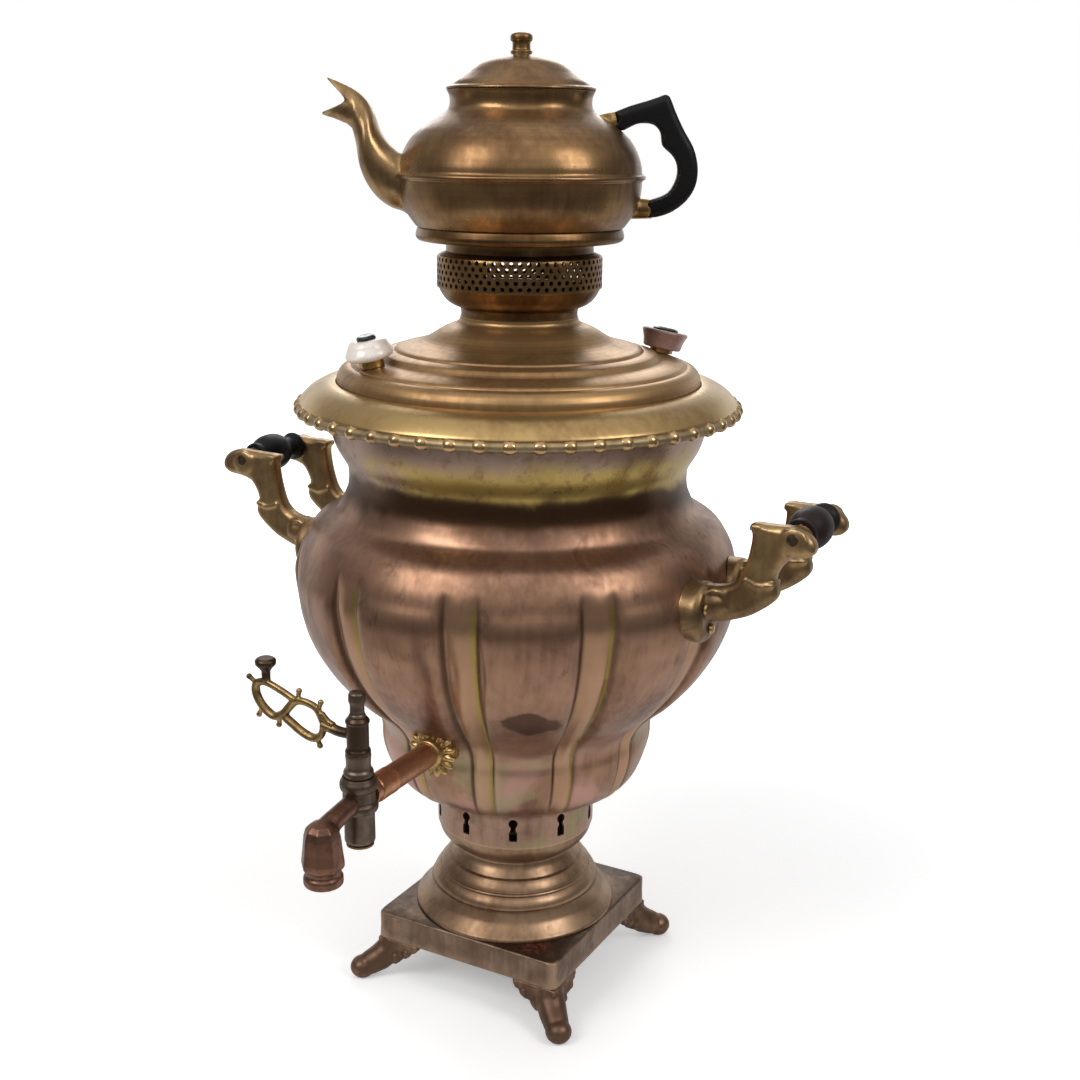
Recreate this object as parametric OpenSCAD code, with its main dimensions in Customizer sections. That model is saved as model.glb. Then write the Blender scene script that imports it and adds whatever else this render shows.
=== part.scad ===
// Charcoal samovar with a lift-off teapot.
// Origin: centre of the footprint on the table. +Z up, the tap points along -Y, the handles along +X and -X.

/* [Base and feet] */
// Width of the square base plate
base_w = 134; // [124:1:146]
// Height of the base plate's top above the table
base_top = 46.2; // [44:0.2:50]
// Height of the base plate's skirt
skirt_h = 18.6; // [17:0.2:19]
// Thickness of the cast base plate
base_wall = 2.4; // [1.8:0.1:3.4]
// How far each toe stands out past the plate's corner, along each side
toe_out = 8; // [4:0.5:10]
// Radius of the ball toe
toe_r = 8.2; // [7.4:0.1:9]
// Length of the scalloped bracket along each side
bracket_len = 31; // [26:1:36]
// Thickness of the scalloped bracket
bracket_t = 5; // [3:0.5:7]

/* [Pedestal and ash ring] */
// Distance of the pedestal's foot from the edges of the base plate
pedestal_inset = 1; // [0.5:0.5:7]
// Radius of the pedestal's waist
waist_r = 38; // [35:0.5:42]
// Wall of the pedestal
pedestal_wall = 2; // [1.4:0.1:3]
// Outer radius of the ash ring
ash_r = 51.5; // [49:0.5:52]
// Height of the ash ring
ash_h = 24; // [22:0.5:26]
// Wall of the ash ring
ash_wall = 1.8; // [1.2:0.1:2.6]
// Number of keyhole vents in the ash ring
vents = 10; // [6:1:12]
// Width of a keyhole vent at its ends
vent_w = 6; // [4:0.2:7]

/* [Vessel] */
// Number of lobes round the body
lobes = 11; // [8:1:14]
// Greatest radius of the body
belly_r = 140; // [130:1:146]
// Depth of the crease on each side of a rib
crease = 1.6; // [0.4:0.1:2.4]
// Width of a rib, as a share of half a lobe
rib_share = 0.22; // [0.15:0.01:0.3]
// Wall of the body
body_wall = 1.8; // [1.2:0.1:2.6]
// Radius of the neck at its waist
neck_r = 105.2; // [102:0.1:110]
// How far the neck's flared edge stands out past its waist
neck_flare = 13.8; // [8:0.1:15]
// Height of the neck above the shoulder
neck_h = 59; // [50:1:66]
// Thickness of the vessel's floor
floor_t = 2; // [1.2:0.2:3]
// Radius of the fire tube at the floor
tube_low_r = 42; // [38:0.5:44]
// Radius of the fire tube at the chimney
tube_top_r = 30; // [26:0.5:31]
// Wall of the fire tube
tube_wall = 1.8; // [1.2:0.1:2.6]
// Thickness of the grate
grate_t = 3; // [2:0.5:5]
// Radius of a grate hole
grate_hole_r = 3; // [2:0.5:3.5]

/* [Rim] */
// Radius of the circle of beads
bead_ring_r = 134; // [130:0.5:137]
// Radius of a bead
bead_r = 4; // [3:0.1:4.6]
// Number of beads
beads = 52; // [40:1:56]
// Radius of the seam between rim and lid
seam_r = 112; // [110:0.5:116]
// Height of the rim above the neck's top
rim_rise = 6.7; // [5:0.1:8]
// Thickness of the rim sheet
rim_t = 1.6; // [1:0.1:2.2]

/* [Lid] */
// Radius of the lid's neck
lid_neck_r = 36; // [34:0.5:40]
// Height of the lid from its seam to the top of its neck
lid_h = 38.6; // [36:0.2:42]
// Wall of the lid
lid_wall = 1.8; // [1.2:0.1:2.4]
// Distance of the lid knobs from the axis
knob_ring_r = 94.5; // [92:0.5:97]
// Direction of the cream knob, from +X
cream_turn = 234; // [220:1:240]
// Direction of the brown knob, from +X
brown_turn = 48; // [40:1:60]
// Lean of the knobs away from the axis
knob_lean = 12; // [6:1:16]
// Greatest radius of a lid knob
knob_r = 14.6; // [12:0.2:16]
// Height of a lid knob
knob_h = 11.5; // [9:0.5:14]

/* [Crown] */
// Radius of the perforated drum
drum_r = 50; // [47:0.5:54]
// Height of the perforated drum
drum_h = 18; // [17.5:0.5:24]
// Wall of the crown
crown_wall = 1.6; // [1.2:0.1:2.2]
// Radius of a perforation
hole_r = 1.05; // [0.7:0.05:1.2]
// Number of perforations in a row
row_holes = 60; // [48:2:64]
// Rows of perforations
hole_rows = 4; // [2:1:4]
// Radius of the seat for the teapot
seat_r = 62.5; // [60:0.5:66]
// Height of the seat's rim
seat_h = 8.5; // [6:0.5:10]
// Running clearance of the lift-off collars
lift_gap = 0.5; // [0.35:0.05:0.8]

/* [Teapot] */
// Greatest radius of the teapot
pot_r = 72.4; // [68:0.2:76]
// Radius of the teapot's mouth
mouth_r = 42; // [40:0.2:44]
// Wall of the teapot
pot_wall = 1.6; // [1.2:0.1:2.2]
// Direction of the spout, from +X
pot_turn = 209.7; // [180:0.1:260]
// Outer radius of the spout at its root
spout_root_r = 16.8; // [15:0.2:18]
// Outer radius of the spout below its beak
spout_tip_r = 8.4; // [7:0.2:9]
// Thickness of the black handle
pot_handle_t = 13; // [10:0.5:16]
// Radius of the teapot lid's knob
pot_knob_r = 6.4; // [5:0.1:8]

/* [Tap] */
// Height of the tap's pipe
tap_z = 188; // [186:0.5:192]
// Distance of the tap's barrel from the axis
barrel_y = 175; // [170:0.5:180]
// Outer radius of the pipe
pipe_r = 7.6; // [6.6:0.1:8]
// Radius of the passage through the tap
passage_r = 3.6; // [2.6:0.1:4]
// Outer radius of the barrel
barrel_r = 8.6; // [8.2:0.1:9.4]
// Radius of the plug
plug_r = 6; // [5:0.1:6.4]
// Running clearance of the plug in its barrel
plug_gap = 0.05; // [0.02:0.01:0.09]
// Distance of the nozzle in front of the barrel
nozzle_out = 34; // [31:0.5:38]
// Greatest radius of the nozzle
nozzle_r = 12; // [11:0.2:13]
// Thickness of the openwork key
key_t = 4.6; // [3:0.2:6]
// Radius of the rosette
rosette_r = 16.5; // [13:0.5:18]

/* [Handles] */
// Half the distance between the two arms of a handle
arm_y = 28; // [25:0.5:32]
// Thickness of an arm
arm_t = 12; // [9:0.5:14]
// Length of the left arms' horns beyond the grip's axis
horn_left = 19; // [14:0.5:24]
// Length of the right arms' horns beyond the grip's axis
horn_right = 12; // [9:0.5:20]
// Distance of the grip's axis from the samovar's axis
grip_x = 193; // [189:0.5:196]
// Height of the grip's axis
grip_z = 331; // [330:0.5:332]
// Radius of the grip's bulb
grip_r = 12.4; // [10:0.2:13]
// Radius of the mounting pads
pad_r = 18; // [15:0.5:20]
// Radius of the rivets in the pads
rivet_r = 2; // [1.5:0.1:2.6]

/* [Hidden] */
$fn = 96;
seam = 0.3;        // clearance between two pieces that are soldered or riveted together
over = 1;          // how far a cutter runs past the face it cuts

// Heights, from the table up
skirt_low = base_top - skirt_h;
ash_low = base_top + 58.8;
body_low = ash_low + ash_h;
bowl_h = 204;      // height of the body below its neck
neck_low = body_low + bowl_h;
neck_top = neck_low + neck_h;
seam_z = neck_top + rim_rise;
crown_low = seam_z + lid_h;
drum_low = crown_low + 17.5;
drum_top = drum_low + drum_h;
seat_low = drum_top + 9;
seat_top = seat_low + seat_h;
half = base_w / 2;
pedestal_r = half - pedestal_inset;

// A ring of sheet or casting: the outline of one side, turned round the Z axis
module turned(points) rotate_extrude() polygon(points);
function flip(points) = [for (i = [len(points) - 1:-1:0]) points[i]];
function lift(points, dz) = [for (p = points) [p[0], p[1] + dz]];
function thinner(points, wall) = [for (p = points) [p[0] - wall, p[1]]];

// Linear interpolation in a list of [height, radius]
function between(list, z, i = 0) =
    z <= list[0][0] ? list[0][1]
    : i >= len(list) - 1 ? list[len(list) - 1][1]
    : z > list[i + 1][0] ? between(list, z, i + 1)
    : list[i][1] + (list[i + 1][1] - list[i][1]) * (z - list[i][0]) / (list[i + 1][0] - list[i][0]);

// ---- Base ----

screw_at = half - 17;
boss_r = 6;
screw_r = 2;
flange_t = 3;

module base_plate() color("#7a5f49") {
    difference() {
        translate([-half, -half, skirt_low]) cube([base_w, base_w, skirt_h]);
        translate([-half + base_wall, -half + base_wall, skirt_low - over])
            cube([base_w - 2 * base_wall, base_w - 2 * base_wall, skirt_h - base_wall + over]);
        translate([0, 0, skirt_low]) cylinder(r = waist_r - 12, h = skirt_h + over);
    }
    for (a = [0:90:270]) rotate(a) translate([screw_at, screw_at, skirt_low]) difference() {
        cylinder(r = boss_r, h = skirt_h - base_wall);
        translate([0, 0, -over]) cylinder(r = screw_r, h = 10 + over);
    }
}

// Bracket along one side of a foot, scalloped on its lower edge
module bracket_side() {
    drop = 14;
    difference() {
        translate([half - bracket_len, half - bracket_t, skirt_low - drop])
            cube([bracket_len, bracket_t, drop]);
        for (k = [0:2]) translate([half - bracket_len + 2 + k * 7, half, skirt_low - drop + k * 1 - 4.6])
            rotate([90, 0, 0]) cylinder(r = 13.4 - k * 3.2, h = 3 * bracket_t, center = true);
    }
}

// One cast foot under the corner at +X +Y
module foot_corner() color("#715744") difference() {
    union() {
        translate([half - bracket_len, half - bracket_len, skirt_low - flange_t])
            cube([bracket_len, bracket_len, flange_t]);
        bracket_side();
        mirror([1, -1, 0]) bracket_side();
        leg_span = toe_out + 6;
        leg_drop = skirt_low - flange_t - toe_r;
        translate([half - 6, half - 6, skirt_low - flange_t]) rotate([0, 0, 45])
            rotate([0, 180 - atan(leg_span * sqrt(2) / leg_drop), 0])
                cylinder(r1 = 9.4, r2 = 6.8, h = norm([leg_span * sqrt(2), leg_drop]));
        translate([half + toe_out, half + toe_out, toe_r - 1.2]) sphere(r = toe_r);
    }
    translate([0, 0, -10]) linear_extrude(10) square(4 * base_w, center = true);
    translate([screw_at, screw_at, skirt_low - flange_t - over])
        cylinder(r = screw_r + 0.3, h = flange_t + 2 * over);
    translate([0, 0, skirt_low]) linear_extrude(20) square(4 * base_w, center = true);
}
module foot_rear_right() foot_corner();
module foot_rear_left() rotate(90) foot_corner();
module foot_front_left() rotate(180) foot_corner();
module foot_front_right() rotate(270) foot_corner();

module foot_screws() color("#5a4a3c")
    for (a = [0:90:270]) rotate(a) translate([screw_at, screw_at, skirt_low - flange_t]) {
        translate([0, 0, -1.8]) cylinder(r = 3.4, h = 1.8);
        cylinder(r = screw_r - 0.05, h = flange_t + 8);
    }

// ---- Pedestal and ash ring ----

// Outline of the pedestal: height above the base plate, radius
pedestal_side = [
    [pedestal_r, 0], [pedestal_r + 0.4, 1.4], [pedestal_r - 1.6, 3.8], [pedestal_r - 4.6, 7],
    [pedestal_r - 8, 11.6], [pedestal_r - 10, 15.6], [pedestal_r - 11.6, 16.4], [pedestal_r - 11.2, 17.6],
    [pedestal_r - 13, 22], [pedestal_r - 15.6, 24.4], [pedestal_r - 15.2, 25.2], [pedestal_r - 16.4, 26],
    [pedestal_r - 18, 28.6], [waist_r + 6.6, 32.4], [waist_r + 4.8, 33.4], [waist_r + 2, 37],
    [waist_r, 40.4], [waist_r + 0.4, 42], [waist_r + 2.6, 43.7], [waist_r + 7.3, 47.6],
    [ash_r - 2.9, 51.4], [ash_r - 1.3, 54.8], [ash_r - 0.4, 58.8]];

module pedestal() color("#7a5f49") translate([0, 0, base_top])
    turned(concat(pedestal_side, flip(thinner(pedestal_side, pedestal_wall))));

// A keyhole vent cut outward along +X
module vent() {
    translate([ash_r - ash_wall - 2 * over, 0, 0]) rotate([90, 0, 90]) linear_extrude(ash_wall + 4 * over) {
        translate([0, 4.2]) circle(r = vent_w / 2);
        polygon([
            [-vent_w * 0.29, 4.2], [-vent_w * 0.29, 0.4], [-vent_w * 0.44, -2], [-vent_w * 0.44, -8],
            [vent_w * 0.44, -8], [vent_w * 0.44, -2], [vent_w * 0.29, 0.4], [vent_w * 0.29, 4.2]]);
    }
}
module ash_ring() color("#9a7458") difference() {
    translate([0, 0, ash_low]) turned([
        [ash_r - ash_wall, 0], [ash_r, 0], [ash_r, ash_h - 1.8], [ash_r + 0.7, ash_h - 1.2],
        [ash_r + 0.7, ash_h - 0.4], [ash_r, ash_h], [ash_r - 5, ash_h], [ash_r - 5, ash_h - 1.4],
        [ash_r - ash_wall, ash_h - 1.4]]);
    for (k = [0:vents - 1]) rotate(-62 + k * 360 / vents) translate([0, 0, ash_low + ash_h * 0.56]) vent();
}

// ---- Vessel ----

// The neck's side, as [height, radius less the belly's], from shares of its height and flare
neck_curve = [for (p = [
        [0, 0.05], [0.12, 0], [0.22, 0.03], [0.32, 0.24], [0.39, 0.42], [0.45, 0.55], [0.56, 0.71],
        [0.7, 0.85], [0.85, 0.95], [1, 1]])
    [bowl_h + p[0] * neck_h, neck_r + neck_flare * p[1] - belly_r]];
// Largest radius of the body: height above the ash ring, radius less the belly's
belly_side = [
    [0, -87.6], [1.2, -84.2], [2.8, -80.8], [5, -75.6], [7.8, -69.6], [12, -64], [18, -59.6],
    [24, -57], [30, -55], [36, -53.6], [42, -52.5], [47, -53.3], [53, -52.7], [57, -50.3], [64.5, -43],
    [72, -34.6], [80, -27.1], [87, -21.3], [94, -16.4], [107.6, -8.8], [121.5, -3.6], [135, -1],
    [149, 0], [162, -2.5], [168, -4.7], [175.4, -8.8], [181.5, -13.4], [187.3, -22.4], [190, -27.2],
    [195, -30.4], [199, -32.2], for (p = neck_curve) p];
// How far a lobe draws in below that, at its middle, and a rib
lobe_dip = [[33, 0], [39, -0.6], [45, -2.8], [50, -4], [55, -3.2], [60, -1.4], [66, 0]];
rib_dip = [
    [34, 0], [44, -0.4], [57, -1.2], [65, -2.4], [80, -4], [107, -4.2], [129, -3.6], [147, -2.4],
    [161, -1.2], [173, 0]];
// Fade of the creases: none on the shoulder or at the very bottom
crease_fade = [[0, 0.25], [19, 0.5], [49, 1], [109, 1], [139, 0.7], [169, 0]];
// Height by which a lobe's rounded foot climbs towards its ribs
foot_climb = [[41, 1], [55, 1], [85, 0.25], [109, 0]];

// Radius of the body at a height above the ash ring; s is 0 on a rib and 1 in the middle of a lobe
function body_r(h, s) =
    let (out = (s - rib_share) / (1 - rib_share))
    out < 0 ? belly_r + between(belly_side, h) + between(rib_dip, h)
    : let (
        round = sqrt(max(0, 1 - (1 - out) * (1 - out))),
        climb = 13 * (1 - round) * between(foot_climb, h),
        lobe = between(belly_side, h) + between(lobe_dip, h - climb),
        rib = between(belly_side, h) + between(rib_dip, h),
        pinched = min(lobe, max(lobe, rib - 9)),
        blend = min(1, round * 1.35))
    belly_r + rib * (1 - blend) + pinched * blend
        - crease * between(crease_fade, h) * max(0, 1 - out / 0.12);

shell_heights = [
    0, 1.2, 2.8, 5, 7.8, 12, 18, 24, 30, 39, 42, 44.5, 46.5, 49, 53, 57, 63, 69, 76, 84, 93, 103, 114,
    125, 135, 143, 151, 159, 167, 175.4, 181.5, 187.3, 192, 199, for (p = neck_curve) p[0]];
// Columns of one lobe, from rib middle to rib middle, as shares of half a lobe
columns = [0, rib_share, rib_share + 0.06, 0.55, 1, 1.45, 1.94 - rib_share, 2 - rib_share];
function column_angle(k) = (floor(k / 8) + columns[k % 8] / 2) * 360 / lobes + 90;
function column_share(k) = min(columns[k % 8], 2 - columns[k % 8]);
// Inner wall: one plain turned surface that clears the lobes
inner_heights = [
    2.8, 7.8, 18, 36, 45, 55, 72, 87, 107.6, 135, 162, 181.5, 190, for (p = neck_curve) p[0],
    bowl_h + neck_h + over];
function inner_r(h) = h > bowl_h ? body_r(h, 0) - body_wall
    : min([for (d = [-4:4:4], s = [0, 0.3, 0.6, 1]) body_r(max(0, h + d), s)]) - body_wall;

module body_shell() color("#8a6248") difference() {
    cols = 8 * lobes;
    n = len(shell_heights);
    polyhedron(
        [for (h = shell_heights, k = [0:cols - 1])
            let (r = body_r(h, column_share(k)), a = column_angle(k)) [r * cos(a), r * sin(a), body_low + h]],
        concat(
            [for (i = [0:n - 2], k = [0:cols - 1]) let (q = (k + 1) % cols, b = i * cols)
                each [[b + k, b + cols + k, b + cols + q], [b + k, b + cols + q, b + q]]],
            [[for (k = [0:cols - 1]) k], [for (k = [cols - 1:-1:0]) (n - 1) * cols + k]]));
    translate([0, 0, body_low]) turned(concat([[0, -over], [ash_r - 1.9, -over], [ash_r - 1.9, floor_t]],
        [for (h = inner_heights) [inner_r(h), h]], [[0, bowl_h + neck_h + over]]));
    translate([0, 0, tap_z]) rotate([90, 0, 0]) cylinder(r = pipe_r + seam, h = belly_r);
}

module vessel_floor() color("#8d7a58") translate([0, 0, body_low]) difference() {
    cylinder(r = ash_r - 2, h = floor_t);
    translate([0, 0, -over]) cylinder(r = tube_low_r + 0.05, h = floor_t + 2 * over);
}

tube_low = body_low - 3.6;
tube_top = crown_low + 9;
module fire_tube() color("#6b5a4a") turned([
    [tube_low_r - 5, tube_low], [tube_low_r, tube_low], [tube_low_r, body_low + 8],
    [tube_top_r, neck_top - 30], [tube_top_r, tube_top], [tube_top_r - tube_wall, tube_top],
    [tube_top_r - tube_wall, neck_top - 30], [tube_low_r - tube_wall, body_low + 8],
    [tube_low_r - tube_wall, tube_low + 1.4], [tube_low_r - 5, tube_low + 1.4]]);

module grate() color("#3a332d") translate([0, 0, tube_low + 1.4]) difference() {
    cylinder(r = tube_low_r - tube_wall - seam, h = grate_t);
    for (ring = [0:3], k = [0:max(0, 6 * ring - 1)])
        rotate(k * 60 / max(1, ring)) translate([ring * 9.6, 0, -over])
            cylinder(r = grate_hole_r, h = grate_t + 2 * over);
}

// ---- Rim ----

bead_z = neck_top - 9;
neck_edge_r = neck_r + neck_flare;
rim_in_r = seam_r - 9.5;                     // inner edge of the rim, under the lid
spigot_h = 5;                                // the rim's ring that stands inside the neck
spigot_r = body_r(bowl_h + neck_h - spigot_h, 0) - body_wall - seam;
module rim_flange() color("#b39a5a") difference() {
    turned([
        [rim_in_r, neck_top], [spigot_r - 2, neck_top], [spigot_r - 2, neck_top - spigot_h],
        [spigot_r, neck_top - spigot_h], [spigot_r, neck_top], [neck_edge_r + seam, neck_top],
        [neck_edge_r + 1.6, seam_z - rim_t - 3.6],
        [bead_ring_r - 11, seam_z - rim_t - 3.1], [bead_ring_r - 6.2, seam_z - rim_t - 6.1],
        [bead_ring_r - 2.4, seam_z - 12.1], [bead_ring_r - 1, seam_z - 15], [bead_ring_r + 0.6, seam_z - 12.7],
        [bead_ring_r - 1.5, seam_z - 9.7], [bead_ring_r - 5.4, seam_z - 5.9],
        [bead_ring_r - 10.4, seam_z - 2.9], [seam_r + 5.5, seam_z - 0.9], [seam_r, seam_z],
        [seam_r, seam_z - 3.4], [rim_in_r, seam_z - 3.4]]);
    translate([0, 0, bead_z]) rotate_extrude() translate([bead_ring_r, 0]) circle(r = bead_r + 0.2);
}

// A soldered string of beads on its wire
module rim_beads() color("#b39a5a") translate([0, 0, bead_z]) {
    rotate_extrude() translate([bead_ring_r, 0]) circle(r = bead_r * 0.55, $fn = 32);
    for (k = [0:beads - 1]) rotate((k + 0.5) * 360 / beads) translate([bead_ring_r, 0, 0])
        sphere(r = bead_r, $fn = 32);
}

// ---- Lid ----

// Outline of the lid's top, from its neck down to its seam, as height above the seam
lid_rim_r = seam_r - 0.5;
lid_side = [
    [lid_neck_r, lid_h], [lid_neck_r + 0.3, 36.4], [lid_neck_r + 2.4, 34.4], [lid_neck_r + 8, 32.2],
    [lid_neck_r + 13.5, 29.4], [lid_neck_r + 18, 26.4], [lid_neck_r + 24, 23.6], [lid_neck_r + 33, 21],
    [lid_neck_r + 39, 19.4], [lid_neck_r + 40.4, 18.4], [lid_neck_r + 44, 17.8], [lid_rim_r - 27, 16.6],
    [lid_rim_r - 24.6, 14.4], [lid_rim_r - 22, 13.6], [lid_rim_r - 11, 11], [lid_rim_r - 9, 9.8],
    [lid_rim_r - 6.6, 9.6], [lid_rim_r - 3, 7.6], [lid_rim_r - 0.8, 5], [lid_rim_r, 2]];
knob_z = seam_z + between([for (p = flip(lid_side)) [-p[0], p[1]]], -knob_ring_r);

module lid_cover() color("#94744a") difference() {
    translate([0, 0, seam_z]) turned(concat(
        lid_side, [[lid_rim_r, -3.4], [lid_rim_r - 4, -3.4]],
        [for (i = [len(lid_side) - 1:-1:0]) let (p = lid_side[i])
            [p[0] - (i > 1 ? 1 : lid_wall) - (i > 16 ? 1 : 0),
                p[1] - (i > 1 ? lid_wall : 0) - (i > 16 ? 0.4 : 0)]]));
    for (a = [cream_turn, brown_turn]) knob_place(a) translate([0, 0, -12]) cylinder(r = 1.9, h = 20);
}

module knob_place(turn) rotate(turn) translate([knob_ring_r, 0, knob_z]) rotate([0, knob_lean, 0]) children();
stem_h = 5;

module lid_knob_stems() color("#8f744c") {
    for (side = [[cream_turn, stem_h], [brown_turn, stem_h - 2.2]]) knob_place(side[0]) {
        translate([0, 0, seam]) cylinder(r = 7.4, h = side[1] - seam);
        translate([0, 0, -4.6]) cylinder(r = 1.7, h = side[1] + 4.6 + knob_h);
        translate([0, 0, -4.6]) cylinder(r = 4, h = 2, $fn = 6);
    }
}
module cream_knob() color("#e6dcd4") knob_place(cream_turn) translate([0, 0, stem_h]) difference() {
    turned([[0, 0], [knob_r - 4, 0], [knob_r - 0.6, 1.6], [knob_r, 3], [knob_r - 1.6, 6],
        [knob_r - 3.4, knob_h - 1.2], [knob_r - 5, knob_h - 0.3], [knob_r - 7, knob_h], [0, knob_h]]);
    translate([0, 0, -over]) cylinder(r = 1.75, h = knob_h + 2 * over);
}
module brown_knob() color("#7a5e55") knob_place(brown_turn) translate([0, 0, stem_h - 2.2]) difference() {
    turned([[0, 0], [knob_r - 3.2, 0], [knob_r - 2.4, 0.8], [knob_r, knob_h - 1.4],
        [knob_r - 0.8, knob_h - 0.2], [knob_r - 2, knob_h], [0, knob_h]]);
    translate([0, 0, -over]) cylinder(r = 1.75, h = knob_h + 2 * over);
}
module lid_knob_buttons() color("#26221f") {
    knob_place(cream_turn) translate([0, 0, stem_h + knob_h])
        turned([[0, 0], [5.8, 0], [5.8, 1.4], [4.6, 2.4], [0, 2.6]]);
    knob_place(brown_turn) translate([0, 0, stem_h - 2.2 + knob_h])
        turned([[0, 0], [8, 0], [8, 1], [6.4, 1.8], [0, 2]]);
}

// ---- Crown ----

collar_r = drum_r - 5.5;                     // neck between the drum and the seat
bowl_side = [
    [lid_neck_r - 0.6, 0], [lid_neck_r - 0.6, 3.6], [lid_neck_r + 1, 5.2], [lid_neck_r + 4, 6.6],
    [drum_r - 6, 9.4], [drum_r - 3.6, 12.4], [drum_r - 2, 15.2], [drum_r - 0.8, 17.5]];
module crown_bowl() color("#6f4f2b") translate([0, 0, crown_low]) {
    bore_r = tube_top_r + lift_gap;
    turned(concat([[bore_r, 0]], bowl_side, [[drum_r - 0.8 - crown_wall, 17.5]],
        [for (i = [6:-1:4]) [bowl_side[i][0] - crown_wall, bowl_side[i][1] + crown_wall * 0.7]],
        [[bore_r + 2, 7.6], [bore_r, 7.6]]));
}
module crown_drum() color("#5f3f1f") difference() {
    translate([0, 0, drum_low]) turned([
        [drum_r - crown_wall, 0], [drum_r, 0], [drum_r, drum_h], [drum_r - 1.4, drum_h + 1.2],
        [collar_r, drum_h + 2.2], [collar_r, drum_h + 9], [collar_r - crown_wall, drum_h + 9],
        [collar_r - crown_wall, drum_h + 1], [drum_r - crown_wall, drum_h - 0.6]]);
    row_pitch = 4.35;
    for (row = [0:hole_rows - 1], k = [0:row_holes - 1])
        rotate((k + (row % 2) / 2) * 360 / row_holes)
            translate([drum_r - crown_wall - over, 0, drum_low + 2 + row * row_pitch]) rotate([0, 90, 0])
                cylinder(r = hole_r, h = crown_wall + 2 * over, $fn = 16);
}
module crown_seat() color("#6f4f2b") translate([0, 0, seat_low]) turned([
    [collar_r - 2, 0], [seat_r - 2.6, 0], [seat_r - 0.4, 1.6], [seat_r, 3.4], [seat_r - 0.6, seat_h - 1.6],
    [seat_r - 1.6, seat_h], [seat_r - 5.4, seat_h], [seat_r - 5.4, 1.8], [collar_r - 2, 1.8]]);

// ---- Teapot: its own axis is X along the spout ----

pot_z = seat_top;
pot_seam = 29.5;
pot_h = 78;                                  // height of the teapot to its rim
pot_foot_r = seat_r - 0.6;                   // the pot stands on the seat's rim
function swell(share) = pot_foot_r + share * (pot_r - pot_foot_r);
pot_side = [
    [pot_foot_r - 5.9, 0], [pot_foot_r, 0], [swell(0.07), 2], [swell(0.31), 4.8], [swell(0.56), 8.6],
    [swell(0.79), 13.6], [swell(0.91), 18.6], [swell(0.98), 24], [pot_r, 27.6],
    [pot_r + 1.2, 28.4], [pot_r + 1.9, pot_seam], [pot_r + 1.2, 30.6], [pot_r, 31.4],
    [pot_r - 0.6, 35.5], [pot_r - 2, 40], [pot_r - 4, 44.6], [pot_r - 7, 49.2], [pot_r - 11.6, 54.2],
    [pot_r - 17.4, 58.6], [pot_r - 23, 62.4], [mouth_r + 1.4, 65.4], [mouth_r, 67.6], [mouth_r - 0.4, 71],
    [mouth_r + 0.4, pot_h - 3], [mouth_r + 1.8, pot_h]];
pot_rim = pot_z + pot_h;
module pot_place() translate([0, 0, pot_z]) rotate(pot_turn) children();
spout_z = 25;

// Outline of the whole pot without its hollow, for what is soldered on from outside
function pot_filled(gap) = concat(
    [[0, 0]], [for (i = [1:len(pot_side) - 1]) pot_side[i] + [gap, 0]], [[0, pot_h]]);
// The pot is spun in two halves, which are soldered together inside the raised seam
seam_at = 10;                                // the point of the side that is the seam's crest
function pot_inside(i) = [
    i > 8 && i < 13 ? pot_r - pot_wall : pot_side[i][0] - pot_wall,
    pot_side[i][1] - (i > 14 && i < 21 ? 0.8 : 0)];
module pot_half(outline) color("#7a5533") pot_place() difference() {
    turned(outline);
    translate([pot_r - 18, 0, spout_z]) rotate([0, 90, 0]) cylinder(r = spout_root_r - 5, h = 30);
    for (at = socket_places) translate([at[0], 0, at[1]]) rotate([0, at[2], 0])
        cylinder(r = 2, h = 40, center = true);
}
module pot_lower() pot_half(concat(
    [for (i = [0:seam_at]) pot_side[i]], [for (i = [seam_at:-1:2]) pot_inside(i)],
    [[pot_side[0][0], 1.8]]));
module pot_upper() pot_half(concat(
    [for (i = [seam_at:len(pot_side) - 1]) pot_side[i]], [[mouth_r + 0.2, pot_h]],
    [for (i = [22:-1:seam_at]) pot_inside(i)]));
// The floor is dished, so that it drops into the seat's recess and keeps the pot in place
module pot_floor() color("#6e4d30") pot_place() turned([
    [0, -2], [pot_side[0][0] - 2, -2], [pot_side[0][0] - 0.1, 0], [pot_side[0][0] - 0.1, pot_wall],
    [pot_side[0][0] - 2, pot_wall - 2], [0, pot_wall - 2]]);

// Spout: stations of [distance from the axis, height, direction, outer radius]
spout_path = [
    [pot_r - 10, 23.4, 6, spout_root_r], [pot_r - 0.5, 26, 14, spout_root_r],
    [pot_r + 7, 30, 30, spout_root_r - 1.4], [pot_r + 12.4, 36, 46, spout_root_r - 4.2],
    [pot_r + 16, 43, 60, spout_root_r - 6.8], [pot_r + 18.2, 49.6, 67, spout_root_r - 8],
    [pot_r + 20.6, 56, 65, spout_tip_r], [pot_r + 24.2, 62.4, 54, spout_tip_r],
    [pot_r + 29.4, 67.4, 38, spout_tip_r + 0.2], [pot_r + 35, 71, 30, spout_tip_r + 0.4],
    [pot_r + 40, 73.8, 26, spout_tip_r + 0.4]];
spout_sides = 16;
beak = 8;
module pot_spout() color("#8a6a3c") pot_place() difference() {
    tube(spout_path, spout_sides, 1.5, beak);
    turned(pot_filled(seam));
}
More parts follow.
